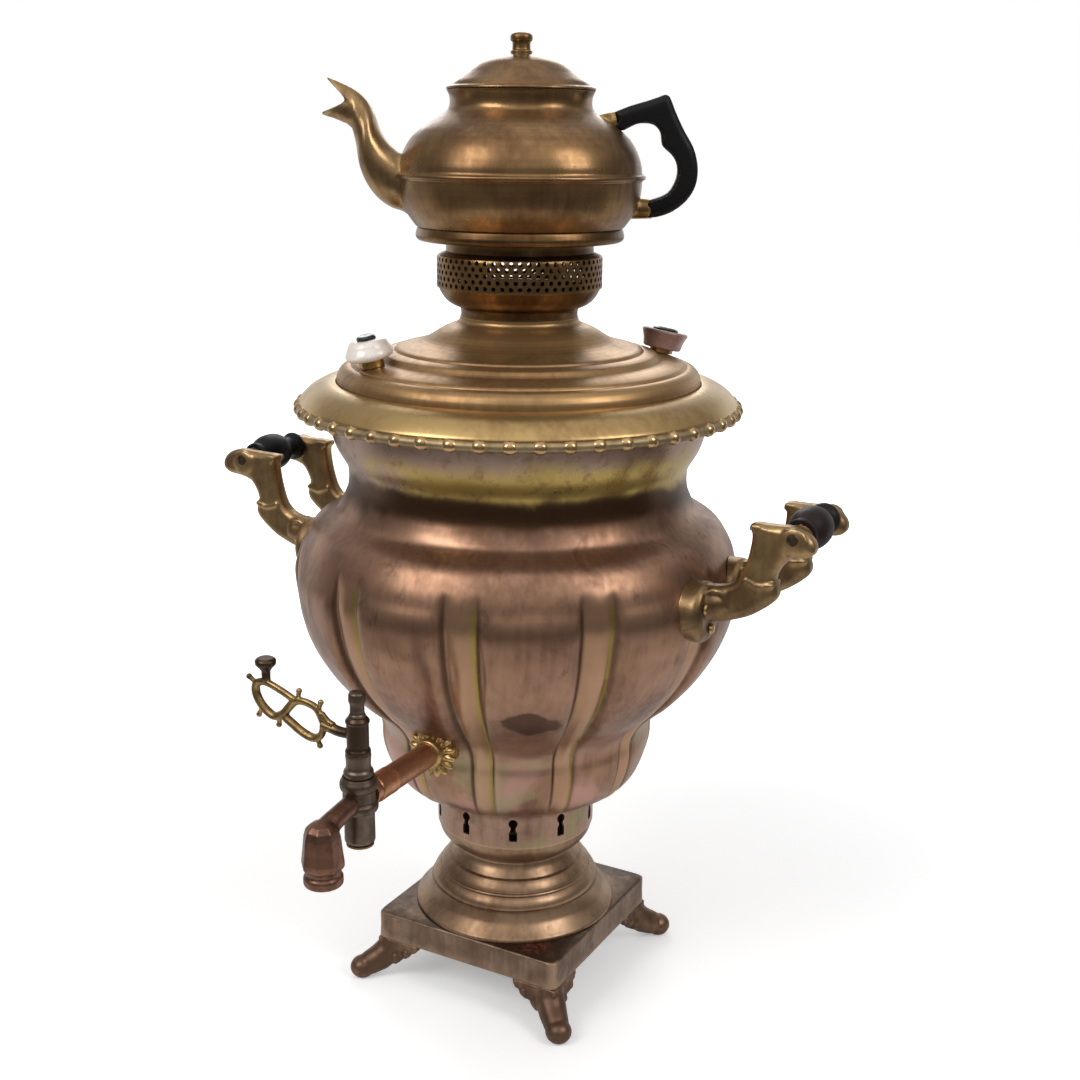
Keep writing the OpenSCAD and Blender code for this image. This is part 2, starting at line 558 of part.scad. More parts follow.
// Bent tube in the XZ plane; its last ring is drawn out into two beaks, above and below
module tube(path, sides, wall, draw) {
    n = len(path);
    function ring(i, inset) = [for (j = [0:sides - 1]) let (
            t = path[i][2], a = j * 360 / sides, r = path[i][3] - inset,
            out = i == n - 1 ? draw * (2 * abs(sin(a)) - 1) : 0,
            up = i == n - 1 ? 1.15 : 1)
        [path[i][0] - r * sin(a) * sin(t) * up + out * cos(t), r * cos(a) * (i == n - 1 ? 0.8 : 1),
            path[i][1] + r * sin(a) * cos(t) * up + out * sin(t)]];
    skin = n * sides;
    polyhedron(
        concat([for (i = [0:n - 1]) each ring(i, 0)], [for (i = [0:n - 1]) each ring(i, wall)]),
        concat(
            [for (i = [0:n - 2], j = [0:sides - 1]) let (k = (j + 1) % sides, b = i * sides)
                each [[b + j, b + k, b + sides + k], [b + j, b + sides + k, b + sides + j]]],
            [for (i = [0:n - 2], j = [0:sides - 1]) let (k = (j + 1) % sides, b = skin + i * sides)
                each [[b + j, b + sides + k, b + k], [b + j, b + sides + j, b + sides + k]]],
            [for (j = [0:sides - 1]) let (k = (j + 1) % sides)
                each [[j, skin + k, k], [j, skin + j, skin + k]]],
            [for (j = [0:sides - 1]) let (k = (j + 1) % sides, e = (n - 1) * sides, f = skin + (n - 1) * sides)
                each [[e + j, e + k, f + k], [e + j, f + k, f + j]]]));
}
module pot_strainer() color("#6e4d30") pot_place()
    translate([swell(0.79) - pot_wall - 1.6, 0, spout_z]) rotate([0, 90, 0]) difference() {
        cylinder(r = spout_root_r - 4.4, h = 1);
        for (k = [0:5]) rotate(k * 60) translate([6.4, 0, -over]) cylinder(r = 1.4, h = 4);
        translate([0, 0, -over]) cylinder(r = 1.4, h = 4);
    }

// Handle sockets: [distance on the far side of the axis, height, lean]
socket_places = [[-pot_r + 21, 60, -76], [-pot_r - 1.4, 11.2, -92]];
module pot_handle_sockets() color("#8a6a3c") pot_place() difference() {
    for (at = socket_places) translate([at[0], 0, at[1]]) rotate([0, at[2], 0]) {
        translate([0, 0, -10]) cylinder(r1 = 6.6, r2 = 5.6, h = 15);
        translate([0, 0, -14]) cylinder(r = 1.9, h = 30);
    }
    turned(pot_filled(0.1));
}
// Black handle: its outline in the plane of the spout, distances from the pot's greatest radius
handle_outline = [
    [-14.2, 67.2], [-8, 69.6], [1.6, 73.4], [9.6, 76.4], [12.4, 77.6], [15, 76.8], [18.2, 68.4], [24, 56.6],
    [29.4, 48], [32.4, 39], [32.8, 30.6], [31, 23.4], [26.4, 16.2], [18, 10], [9, 6.8], [4, 6.2],
    [4, 16.2], [8, 17.4], [15.4, 20.8], [19.2, 26.2], [20.8, 32.4], [20, 38.4], [16.8, 43.4], [11.2, 48.2],
    [10.2, 55], [6.8, 59.2], [1.4, 60.4], [-5, 59.6], [-12, 56.6]];
module pot_handle() color("#1f1e1f") pot_place() difference() {
    rotate([90, 0, 0]) linear_extrude(pot_handle_t, center = true)
        polygon([for (p = handle_outline) [-pot_r - p[0], p[1]]]);
    for (at = socket_places) translate([at[0], 0, at[1]]) rotate([0, at[2], 0]) {
        translate([0, 0, -10]) cylinder(r1 = 7, r2 = 5.8, h = 15.1);
        translate([0, 0, -14]) cylinder(r = 2, h = 30.2);
    }
}

pot_lid_side = [
    [mouth_r + 2, 0.2], [mouth_r + 2, 1.4], [mouth_r, 2.4], [mouth_r - 1.4, 2.6], [mouth_r - 2, 3.6],
    [mouth_r - 4.6, 6], [mouth_r - 9, 8.6], [mouth_r - 12.6, 11.2], [mouth_r - 16, 14],
    [mouth_r - 22, 16.8], [mouth_r - 31, 19.4], [pot_knob_r + 0.6, 20.4]];
module pot_lid_cover() color("#7a5533") translate([0, 0, pot_rim]) difference() {
    turned(concat([[mouth_r - 3, 0.2]], pot_lid_side, [[0, 20.4], [0, 20.4 - pot_wall]],
        [for (i = [10:-1:4]) pot_lid_side[i] - [0.8, pot_wall]],
        [[mouth_r - 4.6, -5], [mouth_r - 3, -5]]));
    translate([0, 0, 10]) cylinder(r = 1.6, h = 20);
}
module pot_lid_knob() color("#8a6a3c") translate([0, 0, pot_rim + 20.4]) {
    turned([[0, 0], [pot_knob_r, 0], [pot_knob_r, 1.6], [pot_knob_r - 1, 2.2], [pot_knob_r - 1, 6.4],
        [pot_knob_r, 7], [pot_knob_r, 10], [pot_knob_r - 1.4, 11.4], [pot_knob_r - 3, 11.8], [0, 11.4]]);
    translate([0, 0, -6]) cylinder(r = 1.55, h = 7);
    translate([0, 0, -5]) cylinder(r = 3.4, h = 4.5 - pot_wall, $fn = 6);
}

// ---- Tap: pieces along -Y ----

module along_tap(from_y) translate([0, -from_y, tap_z]) rotate([90, 0, 0]) children();
tap_face = belly_r - 42;                     // back of the rosette's plate
barrel_low = tap_z - 25.5;
barrel_top = tap_z + 14;
key_low = barrel_top + 13.4;

module tap_rosette() color("#a88a4c") difference() {
    along_tap(tap_face) {
        for (k = [0:11]) rotate(k * 30) translate([rosette_r - 4, 0, 0]) cylinder(r = 4, h = 2.6);
        turned([[0, -16], [pipe_r + 4, -16], [pipe_r + 4, 0], [rosette_r - 2.6, 0], [rosette_r - 2.6, 3.4],
            [rosette_r - 5, 4.6], [pipe_r + 1.6, 4.8], [pipe_r + 1.6, 8.6], [pipe_r + 0.6, 9.6], [0, 9.6]]);
    }
    along_tap(0) cylinder(r = pipe_r + 0.05, h = belly_r);
    body_envelope(seam);
}
// Everything inside the body's largest outline, grown by a clearance
module body_envelope(gap) translate([0, 0, body_low])
    turned(concat([[0, -over]], [for (p = belly_side) [p[1] + belly_r + gap, p[0]]], [[0, bowl_h + neck_h]]));

pipe_in = tap_face - 30;
module tap_pipe() color("#5d4a3e") along_tap(pipe_in) difference() {
    cylinder(r = pipe_r, h = barrel_y - pipe_in - barrel_r - 0.4);
    translate([0, 0, -over]) cylinder(r = passage_r, h = barrel_y + 2 * over);
    translate([0, 0, barrel_y - pipe_in - 30]) difference() {
        cylinder(r = pipe_r + over, h = 17);
        translate([0, 0, -over]) cylinder(r = pipe_r - 1, h = 17 + 2 * over);
    }
}
module tap_lock_nut() color("#8d7a58") along_tap(pipe_in + 0.5) difference() {
    cylinder(r = pipe_r + 4.6, h = 5, $fn = 6);
    translate([0, 0, -over]) cylinder(r = pipe_r + 0.05, h = 5 + 2 * over);
}
module tap_sleeve() color("#d08f62") along_tap(barrel_y - 30 + 0.1) difference() {
    cylinder(r = pipe_r + 0.3, h = 16.8);
    translate([0, 0, -over]) cylinder(r = pipe_r - 0.95, h = 16.8 + 2 * over);
}
module tap_barrel() color("#5d4a3e") difference() {
    translate([0, -barrel_y, 0]) turned([
        [0, barrel_low], [barrel_r - 0.8, barrel_low], [barrel_r, barrel_low + 1], [barrel_r, tap_z - 8],
        [barrel_r + 2, tap_z - 6.6], [barrel_r + 2, tap_z - 2], [barrel_r + 0.9, tap_z - 1],
        [barrel_r + 0.9, tap_z + 6], [barrel_r + 2, tap_z + 7], [barrel_r + 2, tap_z + 11.6],
        [barrel_r + 0.6, barrel_top], [0, barrel_top]]);
    translate([0, -barrel_y, barrel_low - over]) cylinder(r = plug_r + plug_gap, h = 60);
    along_tap(0) cylinder(r = passage_r, h = 2 * barrel_y);
    along_tap(barrel_y + nozzle_arm_from) cylinder(r = 5.9, h = 20);
    along_tap(barrel_y - barrel_r - 20.35) cylinder(r = pipe_r + 0.05, h = 20);
}
nozzle_arm_from = barrel_r - 0.8;
nozzle_low = tap_z - 36.2;
module tap_nozzle() color("#5d4a3e") difference() {
    union() {
        along_tap(barrel_y + nozzle_arm_from + 0.05) cylinder(r = 5.85, h = nozzle_out - nozzle_arm_from);
        translate([0, -barrel_y - nozzle_out, 0]) {
            turned([
                [0, nozzle_low], [nozzle_r - 2, nozzle_low], [nozzle_r - 1, nozzle_low + 0.8],
                [nozzle_r - 1, nozzle_low + 4.4], [nozzle_r - 2.4, nozzle_low + 6],
                [nozzle_r - 2.4, nozzle_low + 7.6], [nozzle_r - 0.4, nozzle_low + 9.6],
                [nozzle_r - 2, nozzle_low + 9.7], [0, nozzle_low + 9.7]]);
            translate([0, 0, nozzle_low + 9.6]) cylinder(r1 = nozzle_r, r2 = nozzle_r - 1.4, h = 17, $fn = 8);
            translate([0, 0, nozzle_low + 26.6])
                cylinder(r1 = nozzle_r - 1.4, r2 = nozzle_r - 4.4, h = 6.6, $fn = 8);
            translate([0, 0, nozzle_low + 33.2])
                cylinder(r1 = nozzle_r - 4.4, r2 = nozzle_r - 8, h = 2.4, $fn = 8);
        }
    }
    along_tap(barrel_y) cylinder(r = passage_r, h = nozzle_out);
    translate([0, -barrel_y - nozzle_out, nozzle_low - over])
        cylinder(r = passage_r + 1.4, h = tap_z - nozzle_low + over);
}

// Plug: turns in the barrel, with a port that is shut at rest
plug_low = barrel_low - 0.6;
module tap_plug() color("#6a5546") difference() {
    translate([0, -barrel_y, 0]) turned([
        [0, plug_low], [plug_r, plug_low], [plug_r, barrel_top + 0.3], [barrel_r - 0.4, barrel_top + 0.3],
        [barrel_r - 0.2, barrel_top + 3.6], [barrel_r - 1.4, barrel_top + 4.8],
        [barrel_r - 1.6, barrel_top + 9], [barrel_r - 1.4, key_low], [0, key_low]]);
    translate([0, -barrel_y, tap_z]) rotate([0, 90, 0]) cylinder(r = passage_r, h = 40, center = true);
    translate([0, -barrel_y, plug_low - over]) cylinder(r = 1.6, h = 9);
    translate([0, -barrel_y, barrel_top + 7]) cylinder(r = 2.5, h = 20);
}
module tap_retainer() color("#6a5546") translate([0, -barrel_y, plug_low]) {
    translate([0, 0, -1.2]) cylinder(r = barrel_r - 0.8, h = 1.2);
    translate([0, 0, -3]) cylinder(r = 3, h = 1.8);
    cylinder(r = 1.55, h = 7);
}
key_top = key_low + 21.6;
key_z = key_low + 12.6;
// Openwork key: a hub on the plug, and two leaf-shaped rings with thorns that point to -X when the tap is shut
// [distance from the hub's axis, height, tilt]
ring_places = [[36.5, -0.3, 0], [57.4, 7, 20]];
// Thorns: root, then tip
thorns = [
    [[28.6, 6.4], [24, 11.6]], [[29.6, -7.6], [25.4, -13.2]], [[42, 8.6], [39.6, 15.8]],
    [[56.6, -2], [54, -8]], [[65.4, 0.6], [69, -4.4]], [[69.6, 11.6], [75.4, 17]]];
module thorn(root, tip) {
    side = [root[1] - tip[1], tip[0] - root[0]] / norm(tip - root);
    polygon([root + 2.6 * side, root - 2.6 * side, tip - 0.8 * side, tip + 0.8 * side]);
}
module key_ring(at) translate([at[0], at[1]]) rotate(at[2]) difference() {
    intersection() {
        translate([0, -3.6]) circle(r = 15);
        translate([0, 3.6]) circle(r = 15);
    }
    intersection() {
        translate([0, -4.6]) circle(r = 12.6);
        translate([0, 4.6]) circle(r = 12.6);
    }
}
module tap_key() color("#8f7340") translate([0, -barrel_y, 0]) difference() {
    union() {
        translate([0, 0, key_low]) turned([
            [0, 0], [7, 0], [7.2, 2], [6.2, 3.4], [6.2, 19], [5.6, 21], [5, 21.6], [0, 21.6]]);
        translate([0, 0, key_z]) rotate([90, 0, 180]) linear_extrude(key_t, center = true) {
            for (at = ring_places) key_ring(at);
            polygon([[2, -8], [12, -4.6], [23.5, -3], [23.5, 3], [12, 0], [2, 2]]);
            for (t = thorns) thorn(t[0], t[1]);
            polygon([[59, 15], [66, 15], [64.4, 27], [60.6, 27]]);
        }
        translate([-62.5, 0, key_z + 26]) turned([[0, 0], [3.4, 0], [6, 2.2], [6, 4.2], [4.4, 5.6], [0, 5.8]]);
    }
    translate([0, 0, key_low - over]) cylinder(r = 2.55, h = 40);
}
module tap_finial() color("#6a5546") translate([0, -barrel_y, 0]) {
    translate([0, 0, barrel_top + 8]) cylinder(r = 2.45, h = key_top - barrel_top - 6);
    translate([0, 0, key_top]) turned([
        [0, 0], [4.8, 0], [4, 1.2], [3.4, 6.4], [4.2, 7.4], [4.4, 11], [3.8, 13.4], [2, 14.6], [0, 14.8]]);
}

// ---- Handles ----

// Outline of an arm in the XZ plane, on the +X side: its foot follows the pad, its eye the grip
pad_z = body_low + 150;
pad_out = 5;                                 // how far the pad stands out past the belly
function arm_outline(horn) = [
    [belly_r - 3, pad_z + 18], [belly_r + 6, pad_z + 18], [belly_r + 12, pad_z + 18.6],
    [belly_r + 18, pad_z + 21], [belly_r + 22, pad_z + 25], [grip_x - 28.4, grip_z - 21],
    [grip_x - 26.4, grip_z - 14], [grip_x - 25, grip_z - 6], [grip_x - 25, grip_z],
    [grip_x - 26.6, grip_z + 2.6], [grip_x - 25.4, grip_z + 5.4], [grip_x - 11, grip_z + 5.8],
    [grip_x + horn - 16, grip_z + 6.3], [grip_x + horn - 9, grip_z + 5.2],
    [grip_x + horn - 3, grip_z + 1.6], [grip_x + horn, grip_z - 3.6], [grip_x + horn - 1, grip_z - 8.2],
    [grip_x + horn - 6, grip_z - 10.8], [grip_x + horn - 14, grip_z - 11.4],
    [grip_x - 4, grip_z - 14], [grip_x - 8, grip_z - 19], [grip_x - 10.4, grip_z - 25],
    [grip_x - 9, pad_z + 22.6], [grip_x - 8, pad_z + 18.6], [grip_x - 10.4, pad_z + 13.6],
    [grip_x - 18.4, pad_z + 6.8], [belly_r + 27.6, pad_z + 2.4], [belly_r + 20, pad_z - 0.6],
    [belly_r + 13, pad_z - 3], [belly_r - 3, pad_z - 7]];
rivet_spots = [[0, -9.5], [-9.7, 5], [9.7, 5]];

module arm(horn) color("#8f744c") difference() {
    union() {
        translate([0, -arm_y, 0]) rotate([90, 0, 0])
            linear_extrude(arm_t, center = true) polygon(arm_outline(horn));
        translate([belly_r - 12, -arm_y, pad_z]) rotate([0, 90, 0]) turned([
            [0, 0], [pad_r, 0], [pad_r, pad_out + 8.6], [pad_r - 1.6, pad_out + 11], [pad_r - 5, pad_out + 12],
            [0, pad_out + 12]]);
    }
    body_envelope(seam);
    translate([grip_x, 0, grip_z]) rotate([90, 0, 0]) cylinder(r = 2.1, h = 4 * arm_y, center = true);
    for (spot = rivet_spots) translate([0, -arm_y + spot[0], pad_z + spot[1]]) rotate([0, 90, 0])
        cylinder(r = rivet_r + 0.05, h = belly_r + 40);
}
module arm_right_front() arm(horn_right);
module arm_right_rear() mirror([0, 1, 0]) arm(horn_right);
module arm_left_front() mirror([1, 0, 0]) arm(horn_left);
module arm_left_rear() mirror([1, 0, 0]) mirror([0, 1, 0]) arm(horn_left);

module handle_rivets() color("#a88a4c") for (sx = [0, 1], sy = [0, 1])
    mirror([sx, 0, 0]) mirror([0, sy, 0]) for (spot = rivet_spots) difference() {
        translate([belly_r - 12, -arm_y + spot[0], pad_z + spot[1]]) rotate([0, 90, 0]) {
            cylinder(r = rivet_r, h = pad_out + 13);
            translate([0, 0, pad_out + 12]) turned([[0, 0], [3.2, 0], [2.6, 1.4], [0, 2]]);
        }
        body_envelope(seam);
    }

grip_half = arm_y - arm_t / 2 - 0.3;
module grip(colour) color(colour) translate([grip_x, 0, grip_z]) rotate([90, 0, 0]) difference() {
    turned([
        [0, -grip_half], [8.6, -grip_half], [9.4, -grip_half + 3], [7.4, -grip_half + 6.4], [7.2, -9],
        [8.4, -7.4], [11.4, -4], [grip_r, 2], [grip_r, 8], [11, 12.6], [8.8, 16.6], [8.8, grip_half],
        [0, grip_half]]);
    cylinder(r = 2.1, h = 2 * arm_y, center = true);
}
module grip_left() mirror([1, 0, 0]) grip("#1d1c1c");
module grip_right() grip("#4a3b36");
module grip_rods() color("#a88a4c") for (sx = [0, 1]) mirror([sx, 0, 0])
    translate([grip_x, 0, grip_z]) rotate([90, 0, 0]) {
        cylinder(r = 2, h = 2 * arm_y + arm_t, center = true);
        for (sy = [0, 1]) mirror([0, 0, sy]) translate([0, 0, arm_y + arm_t / 2])
            turned([[0, 0], [4, 0], [3.2, 1.6], [0, 2.2]]);
    }

foot_front_left();
foot_front_right();
foot_rear_left();
foot_rear_right();
foot_screws();
base_plate();
pedestal();
ash_ring();
grate();
vessel_floor();
fire_tube();
body_shell();
rim_flange();
rim_beads();
lid_cover();
lid_knob_stems();
cream_knob();
brown_knob();
lid_knob_buttons();
crown_bowl();
crown_drum();
crown_seat();
pot_lower();
pot_upper();
pot_floor();
pot_spout();
pot_strainer();
pot_handle();
pot_handle_sockets();
pot_lid_cover();
pot_lid_knob();
tap_rosette();
tap_pipe();
tap_lock_nut();
tap_sleeve();
tap_barrel();
tap_nozzle();
tap_plug();
tap_key();
tap_finial();
tap_retainer();
arm_left_front();
arm_left_rear();
arm_right_front();
arm_right_rear();
grip_left();
grip_right();
grip_rods();
handle_rivets();
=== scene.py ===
import math

import bmesh
import bpy
import numpy as np
from mathutils import Matrix, Vector


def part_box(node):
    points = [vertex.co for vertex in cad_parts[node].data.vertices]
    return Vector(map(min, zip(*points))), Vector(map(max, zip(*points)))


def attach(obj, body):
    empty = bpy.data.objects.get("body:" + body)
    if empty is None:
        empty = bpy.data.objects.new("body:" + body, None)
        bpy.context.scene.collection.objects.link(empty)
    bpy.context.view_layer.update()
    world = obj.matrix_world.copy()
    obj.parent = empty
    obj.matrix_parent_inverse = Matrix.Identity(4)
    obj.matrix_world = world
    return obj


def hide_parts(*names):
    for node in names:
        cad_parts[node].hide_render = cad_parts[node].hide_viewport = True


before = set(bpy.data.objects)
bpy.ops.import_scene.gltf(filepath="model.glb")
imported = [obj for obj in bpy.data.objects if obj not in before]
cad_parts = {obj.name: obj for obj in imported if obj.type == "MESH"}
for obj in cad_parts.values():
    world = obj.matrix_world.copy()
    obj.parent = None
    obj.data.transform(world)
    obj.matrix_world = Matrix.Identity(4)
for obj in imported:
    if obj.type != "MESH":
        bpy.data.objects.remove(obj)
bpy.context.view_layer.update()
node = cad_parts


# Base plate: a square tray of brown cast bronze, turned upside down, with a hole under the pedestal.
# Its top is filed flat and is painted darker, as painted shade; its edges are rubbed bright, and red paint is
# left at one corner.
mm = 0.001


def set_out(name, data):
    """A new object of the given data, set out in the scene."""
    piece = bpy.data.objects.new(name, data)
    bpy.context.scene.collection.objects.link(piece)
    return piece


def merged_piece(name, verts, faces, sharp=32):
    """A closed mesh object from its corners and faces, with doubles merged and its faces outwards."""
    mesh = bpy.data.meshes.new(name)
    mesh.from_pydata([tuple(v) for v in verts], [], faces)
    made = bmesh.new()
    made.from_mesh(mesh)
    bmesh.ops.remove_doubles(made, verts=made.verts, dist=1e-6)
    bmesh.ops.recalc_face_normals(made, faces=made.faces)
    made.to_mesh(mesh)
    made.free()
    mesh.shade_smooth()
    mesh.set_sharp_from_angle(angle=math.radians(sharp))
    return set_out(name, mesh)


def loop_faces(rings, sides):
    """Quads that join rings of corners, each ring a closed loop, and the last ring to the first."""
    faces = []
    for i in range(rings):
        near, far = i * sides, (i + 1) % rings * sides
        for j in range(sides):
            k = (j + 1) % sides
            faces.append((near + j, near + k, far + k, far + j))
    return faces


def softened(points, steps=4):
    """A smooth line through the points; a point given twice stays a corner."""
    line = []
    for i in range(len(points) - 1):
        b, c = np.array(points[i], float), np.array(points[i + 1], float)
        if np.allclose(b, c):
            line.append(tuple(b))
            continue
        a = np.array(points[i - 1], float) if i else 2 * b - c
        d = np.array(points[i + 2], float) if i + 2 < len(points) else 2 * c - b
        a = 2 * b - c if np.allclose(a, b) else a
        d = 2 * c - b if np.allclose(c, d) else d
        span = np.linalg.norm(c - b)
        m0 = (c - a) * span / max(np.linalg.norm(c - b) + np.linalg.norm(b - a), 1e-9)
        m1 = (d - b) * span / max(np.linalg.norm(d - c) + np.linalg.norm(c - b), 1e-9)
        for t in np.linspace(0, 1, steps, endpoint=False):
            h = (2 * t**3 - 3 * t**2 + 1, t**3 - 2 * t**2 + t, 3 * t**2 - 2 * t**3, t**3 - t**2)
            line.append(tuple(h[0] * b + h[1] * m0 + h[2] * c + h[3] * m1))
    line.append(tuple(points[-1]))
    return [p for i, p in enumerate(line) if i == 0 or math.dist(p, line[i - 1]) > 1e-4]


def turned_piece(name, outline, sides, place=None, spread=None):
    """A turned piece: a closed outline of (radius, height) in millimetres, swung round the Z axis.

    A spread is a factor on the radius, worked out from the angle, the radius and the height.
    """
    angles = np.arange(sides) * math.tau / sides
    verts = []
    for r, z in outline:
        for a in angles:
            reach = max(r, 0) * (spread(a, r, z) if spread else 1)
            verts.append(Vector((reach * math.cos(a) * mm, reach * math.sin(a) * mm, z * mm)))
    if place:
        verts = [place @ v for v in verts]
    return merged_piece(name, verts, loop_faces(len(outline), sides))


def put(tree, kind, inputs=None, **settings):
    """A shader node with its settings, and its inputs set, or linked where a socket is given."""
    made = tree.nodes.new("ShaderNode" + kind)
    for name, value in settings.items():
        setattr(made, name, value)
    for name, value in (inputs or {}).items():
        if isinstance(value, bpy.types.NodeSocket):
            tree.links.new(value, made.inputs[name])
        else:
            made.inputs[name].default_value = value
    return made


def tint(code):
    """A linear colour from its written sRGB code."""
    parts = [int(code[i : i + 2], 16) / 255 for i in (1, 3, 5)]
    return tuple(c / 12.92 if c <= 0.04045 else ((c + 0.055) / 1.055) ** 2.4 for c in parts) + (1.0,)


def shader_group(name, inputs, outputs):
    """An empty shader group with named sockets, and its input and output nodes."""
    tree = bpy.data.node_groups.new(name, "ShaderNodeTree")
    for label, kind, value in inputs:
        socket = tree.interface.new_socket(name=label, in_out="INPUT", socket_type="NodeSocket" + kind)
        if value is not None:
            socket.default_value = value
    for label, kind in outputs:
        tree.interface.new_socket(name=label, in_out="OUTPUT", socket_type="NodeSocket" + kind)
    return tree, tree.nodes.new("NodeGroupInput").outputs, tree.nodes.new("NodeGroupOutput").inputs


def blend_of(tree, amount, low, high):
    """One colour mixed into another by an amount."""
    mix = tree.nodes.new("ShaderNodeMix")
    mix.data_type = "RGBA"
    for socket, value in ((mix.inputs[0], amount), (mix.inputs[6], low), (mix.inputs[7], high)):
        if isinstance(value, bpy.types.NodeSocket):
            tree.links.new(value, socket)
        else:
            socket.default_value = value
    return mix.outputs[2]


def reckoned(tree, kind, a, b=0.0, clamp=False):
    """One step of arithmetic on sockets or numbers."""
    return put(tree, "Math", {0: a, 1: b}, operation=kind, use_clamp=clamp).outputs[0]


def plus(tree, a, b, clamp=False):
    """The sum of two sockets or numbers."""
    return reckoned(tree, "ADD", a, b, clamp)


def times(tree, a, b, clamp=False):
    """The product of two sockets or numbers."""
    return reckoned(tree, "MULTIPLY", a, b, clamp)


def swing_of(tree, value, reach):
    """How far a value lies above or below a half, times a reach."""
    return times(tree, reckoned(tree, "SUBTRACT", value, 0.5), reach)


def place_on(tree):
    """The place on the piece, in metres."""
    return put(tree, "TexCoord").outputs["Object"]


def parts_of(tree, place):
    """A place's X, Y and Z."""
    return put(tree, "SeparateXYZ", {"Vector": place}).outputs


def along_of(tree, place, way):
    """How far a place lies along a way."""
    return put(tree, "VectorMath", {0: place, 1: way}, operation="DOT_PRODUCT").outputs["Value"]


def mapped(tree, place, **change):
    """A place moved or stretched before a pattern is read there."""
    return put(tree, "Mapping", {"Vector": place, **change}).outputs["Vector"]


def band_of(tree, value, low, high, to_low=0.0, to_high=1.0):
    """A soft ramp of a value between two limits."""
    limits = {"Value": value, "From Min": low, "From Max": high, "To Min": to_low, "To Max": to_high}
    return put(tree, "MapRange", limits, interpolation_type="SMOOTHSTEP").outputs["Result"]


def noise_of(tree, place, scale, detail=4.0, rough=0.55, twist=0.0):
    """Cloudy noise; the scale is its patches to the metre."""
    sockets = {"Vector": place, "Scale": scale, "Detail": detail, "Roughness": rough, "Distortion": twist}
    return put(tree, "TexNoise", sockets).outputs["Fac"]


# Years of handling and polish: brown tarnish in clouds, thin streaks down the metal, dark specks.
tarnish, given, result = shader_group("tarnish", [
    ("Bright", "Color", tint("#b08a5a")), ("Brown", "Color", tint("#7a5533")),
    ("Dark", "Color", tint("#3a2617")), ("Patches", "Float", 30.0), ("Brownness", "Float", 0.5),
    ("Specks", "Float", 0.3), ("Smooth", "Float", 0.3)],
    [("Color", "Color"), ("Roughness", "Float"), ("Height", "Float"), ("Cloud", "Float")])
place = place_on(tarnish)
cloud = noise_of(tarnish, place, given["Patches"], 5.0, 0.6, 0.4)
fine = noise_of(tarnish, place, 900.0, 3.0, 0.6)
streak_way = mapped(tarnish, place, Scale=(260.0, 260.0, 22.0))
streak = noise_of(tarnish, streak_way, 1.0, 3.0, 0.5)
speck = put(tarnish, "TexVoronoi", {"Vector": place, "Scale": 240.0, "Randomness": 1.0}).outputs["Distance"]
speck_clouds = noise_of(tarnish, place, 55.0, 3.0)
brown = plus(tarnish, cloud, swing_of(tarnish, streak, 0.35))
brown = plus(tarnish, brown, reckoned(tarnish, "SUBTRACT", given["Brownness"], 0.5))
colour = blend_of(tarnish, band_of(tarnish, brown, 0.3, 0.72), given["Bright"], given["Brown"])
speck_mask = times(tarnish, band_of(tarnish, speck, 0.2, 0.08), band_of(tarnish, speck_clouds, 0.45, 0.7))
speck_mask = times(tarnish, speck_mask, given["Specks"])
colour = blend_of(tarnish, speck_mask, colour, given["Dark"])
tarnish.links.new(colour, result["Color"])
rough = plus(tarnish, given["Smooth"], swing_of(tarnish, cloud, 0.22))
rough = plus(tarnish, rough, swing_of(tarnish, streak, 0.12))
tarnish.links.new(plus(tarnish, rough, times(tarnish, speck_mask, 0.3)), result["Roughness"])
bumps = plus(tarnish, times(tarnish, cloud, 0.7), times(tarnish, fine, 0.12))
tarnish.links.new(reckoned(tarnish, "SUBTRACT", bumps, times(tarnish, speck_mask, 0.3)), result["Height"])
tarnish.links.new(cloud, result["Cloud"])

# Edges that hands and cloths have rubbed bright, and hollows that keep their dirt.
wear, given, result = shader_group("edge wear", [
    ("Color", "Color", (0.5, 0.5, 0.5, 1)), ("Rubbed", "Color", tint("#c9a468")),
    ("Dirt", "Color", tint("#2c1d12")), ("Edges", "Float", 0.6), ("Hollows", "Float", 0.6),
    ("Roughness", "Float", 0.3)],
    [("Color", "Color"), ("Roughness", "Float")])
point = put(wear, "NewGeometry").outputs["Pointiness"]
place = place_on(wear)
ragged = swing_of(wear, noise_of(wear, place, 160.0, 4.0), 0.05)
uneven = plus(wear, point, ragged)
edge = times(wear, band_of(wear, uneven, 0.515, 0.57), given["Edges"])
hollow = times(wear, band_of(wear, uneven, 0.49, 0.43), given["Hollows"])
colour = blend_of(wear, edge, given["Color"], given["Rubbed"])
wear.links.new(blend_of(wear, hollow, colour, given["Dirt"]), result["Color"])
rough = reckoned(wear, "SUBTRACT", given["Roughness"], times(wear, edge, 0.1))
rough = plus(wear, rough, times(wear, hollow, 0.25), clamp=True)
wear.links.new(rough, result["Roughness"])


def new_finish(name):
    """A new material, its node tree and its shader."""
    made = bpy.data.materials.new(name)
    made.use_nodes = True
    return made, made.node_tree, made.node_tree.nodes["Principled BSDF"]


def grained(tree, shader, height, strength, depth):
    """Lays a fine relief over a surface."""
    grain = put(tree, "Bump", {"Strength": strength, "Distance": depth, "Height": height})
    tree.links.new(grain.outputs["Normal"], shader.inputs["Normal"])


def worn_over(tree, shader, colour, rough, **settings):
    """Lays worn edges and dirty hollows over a colour and a roughness, and hands both to the shader."""
    worn = put(tree, "Group", {"Color": colour, "Roughness": rough}, node_tree=wear)
    for label, value in settings.items():
        worn.inputs[label].default_value = value
    tree.links.new(worn.outputs["Color"], shader.inputs["Base Color"])
    tree.links.new(worn.outputs["Roughness"], shader.inputs["Roughness"])


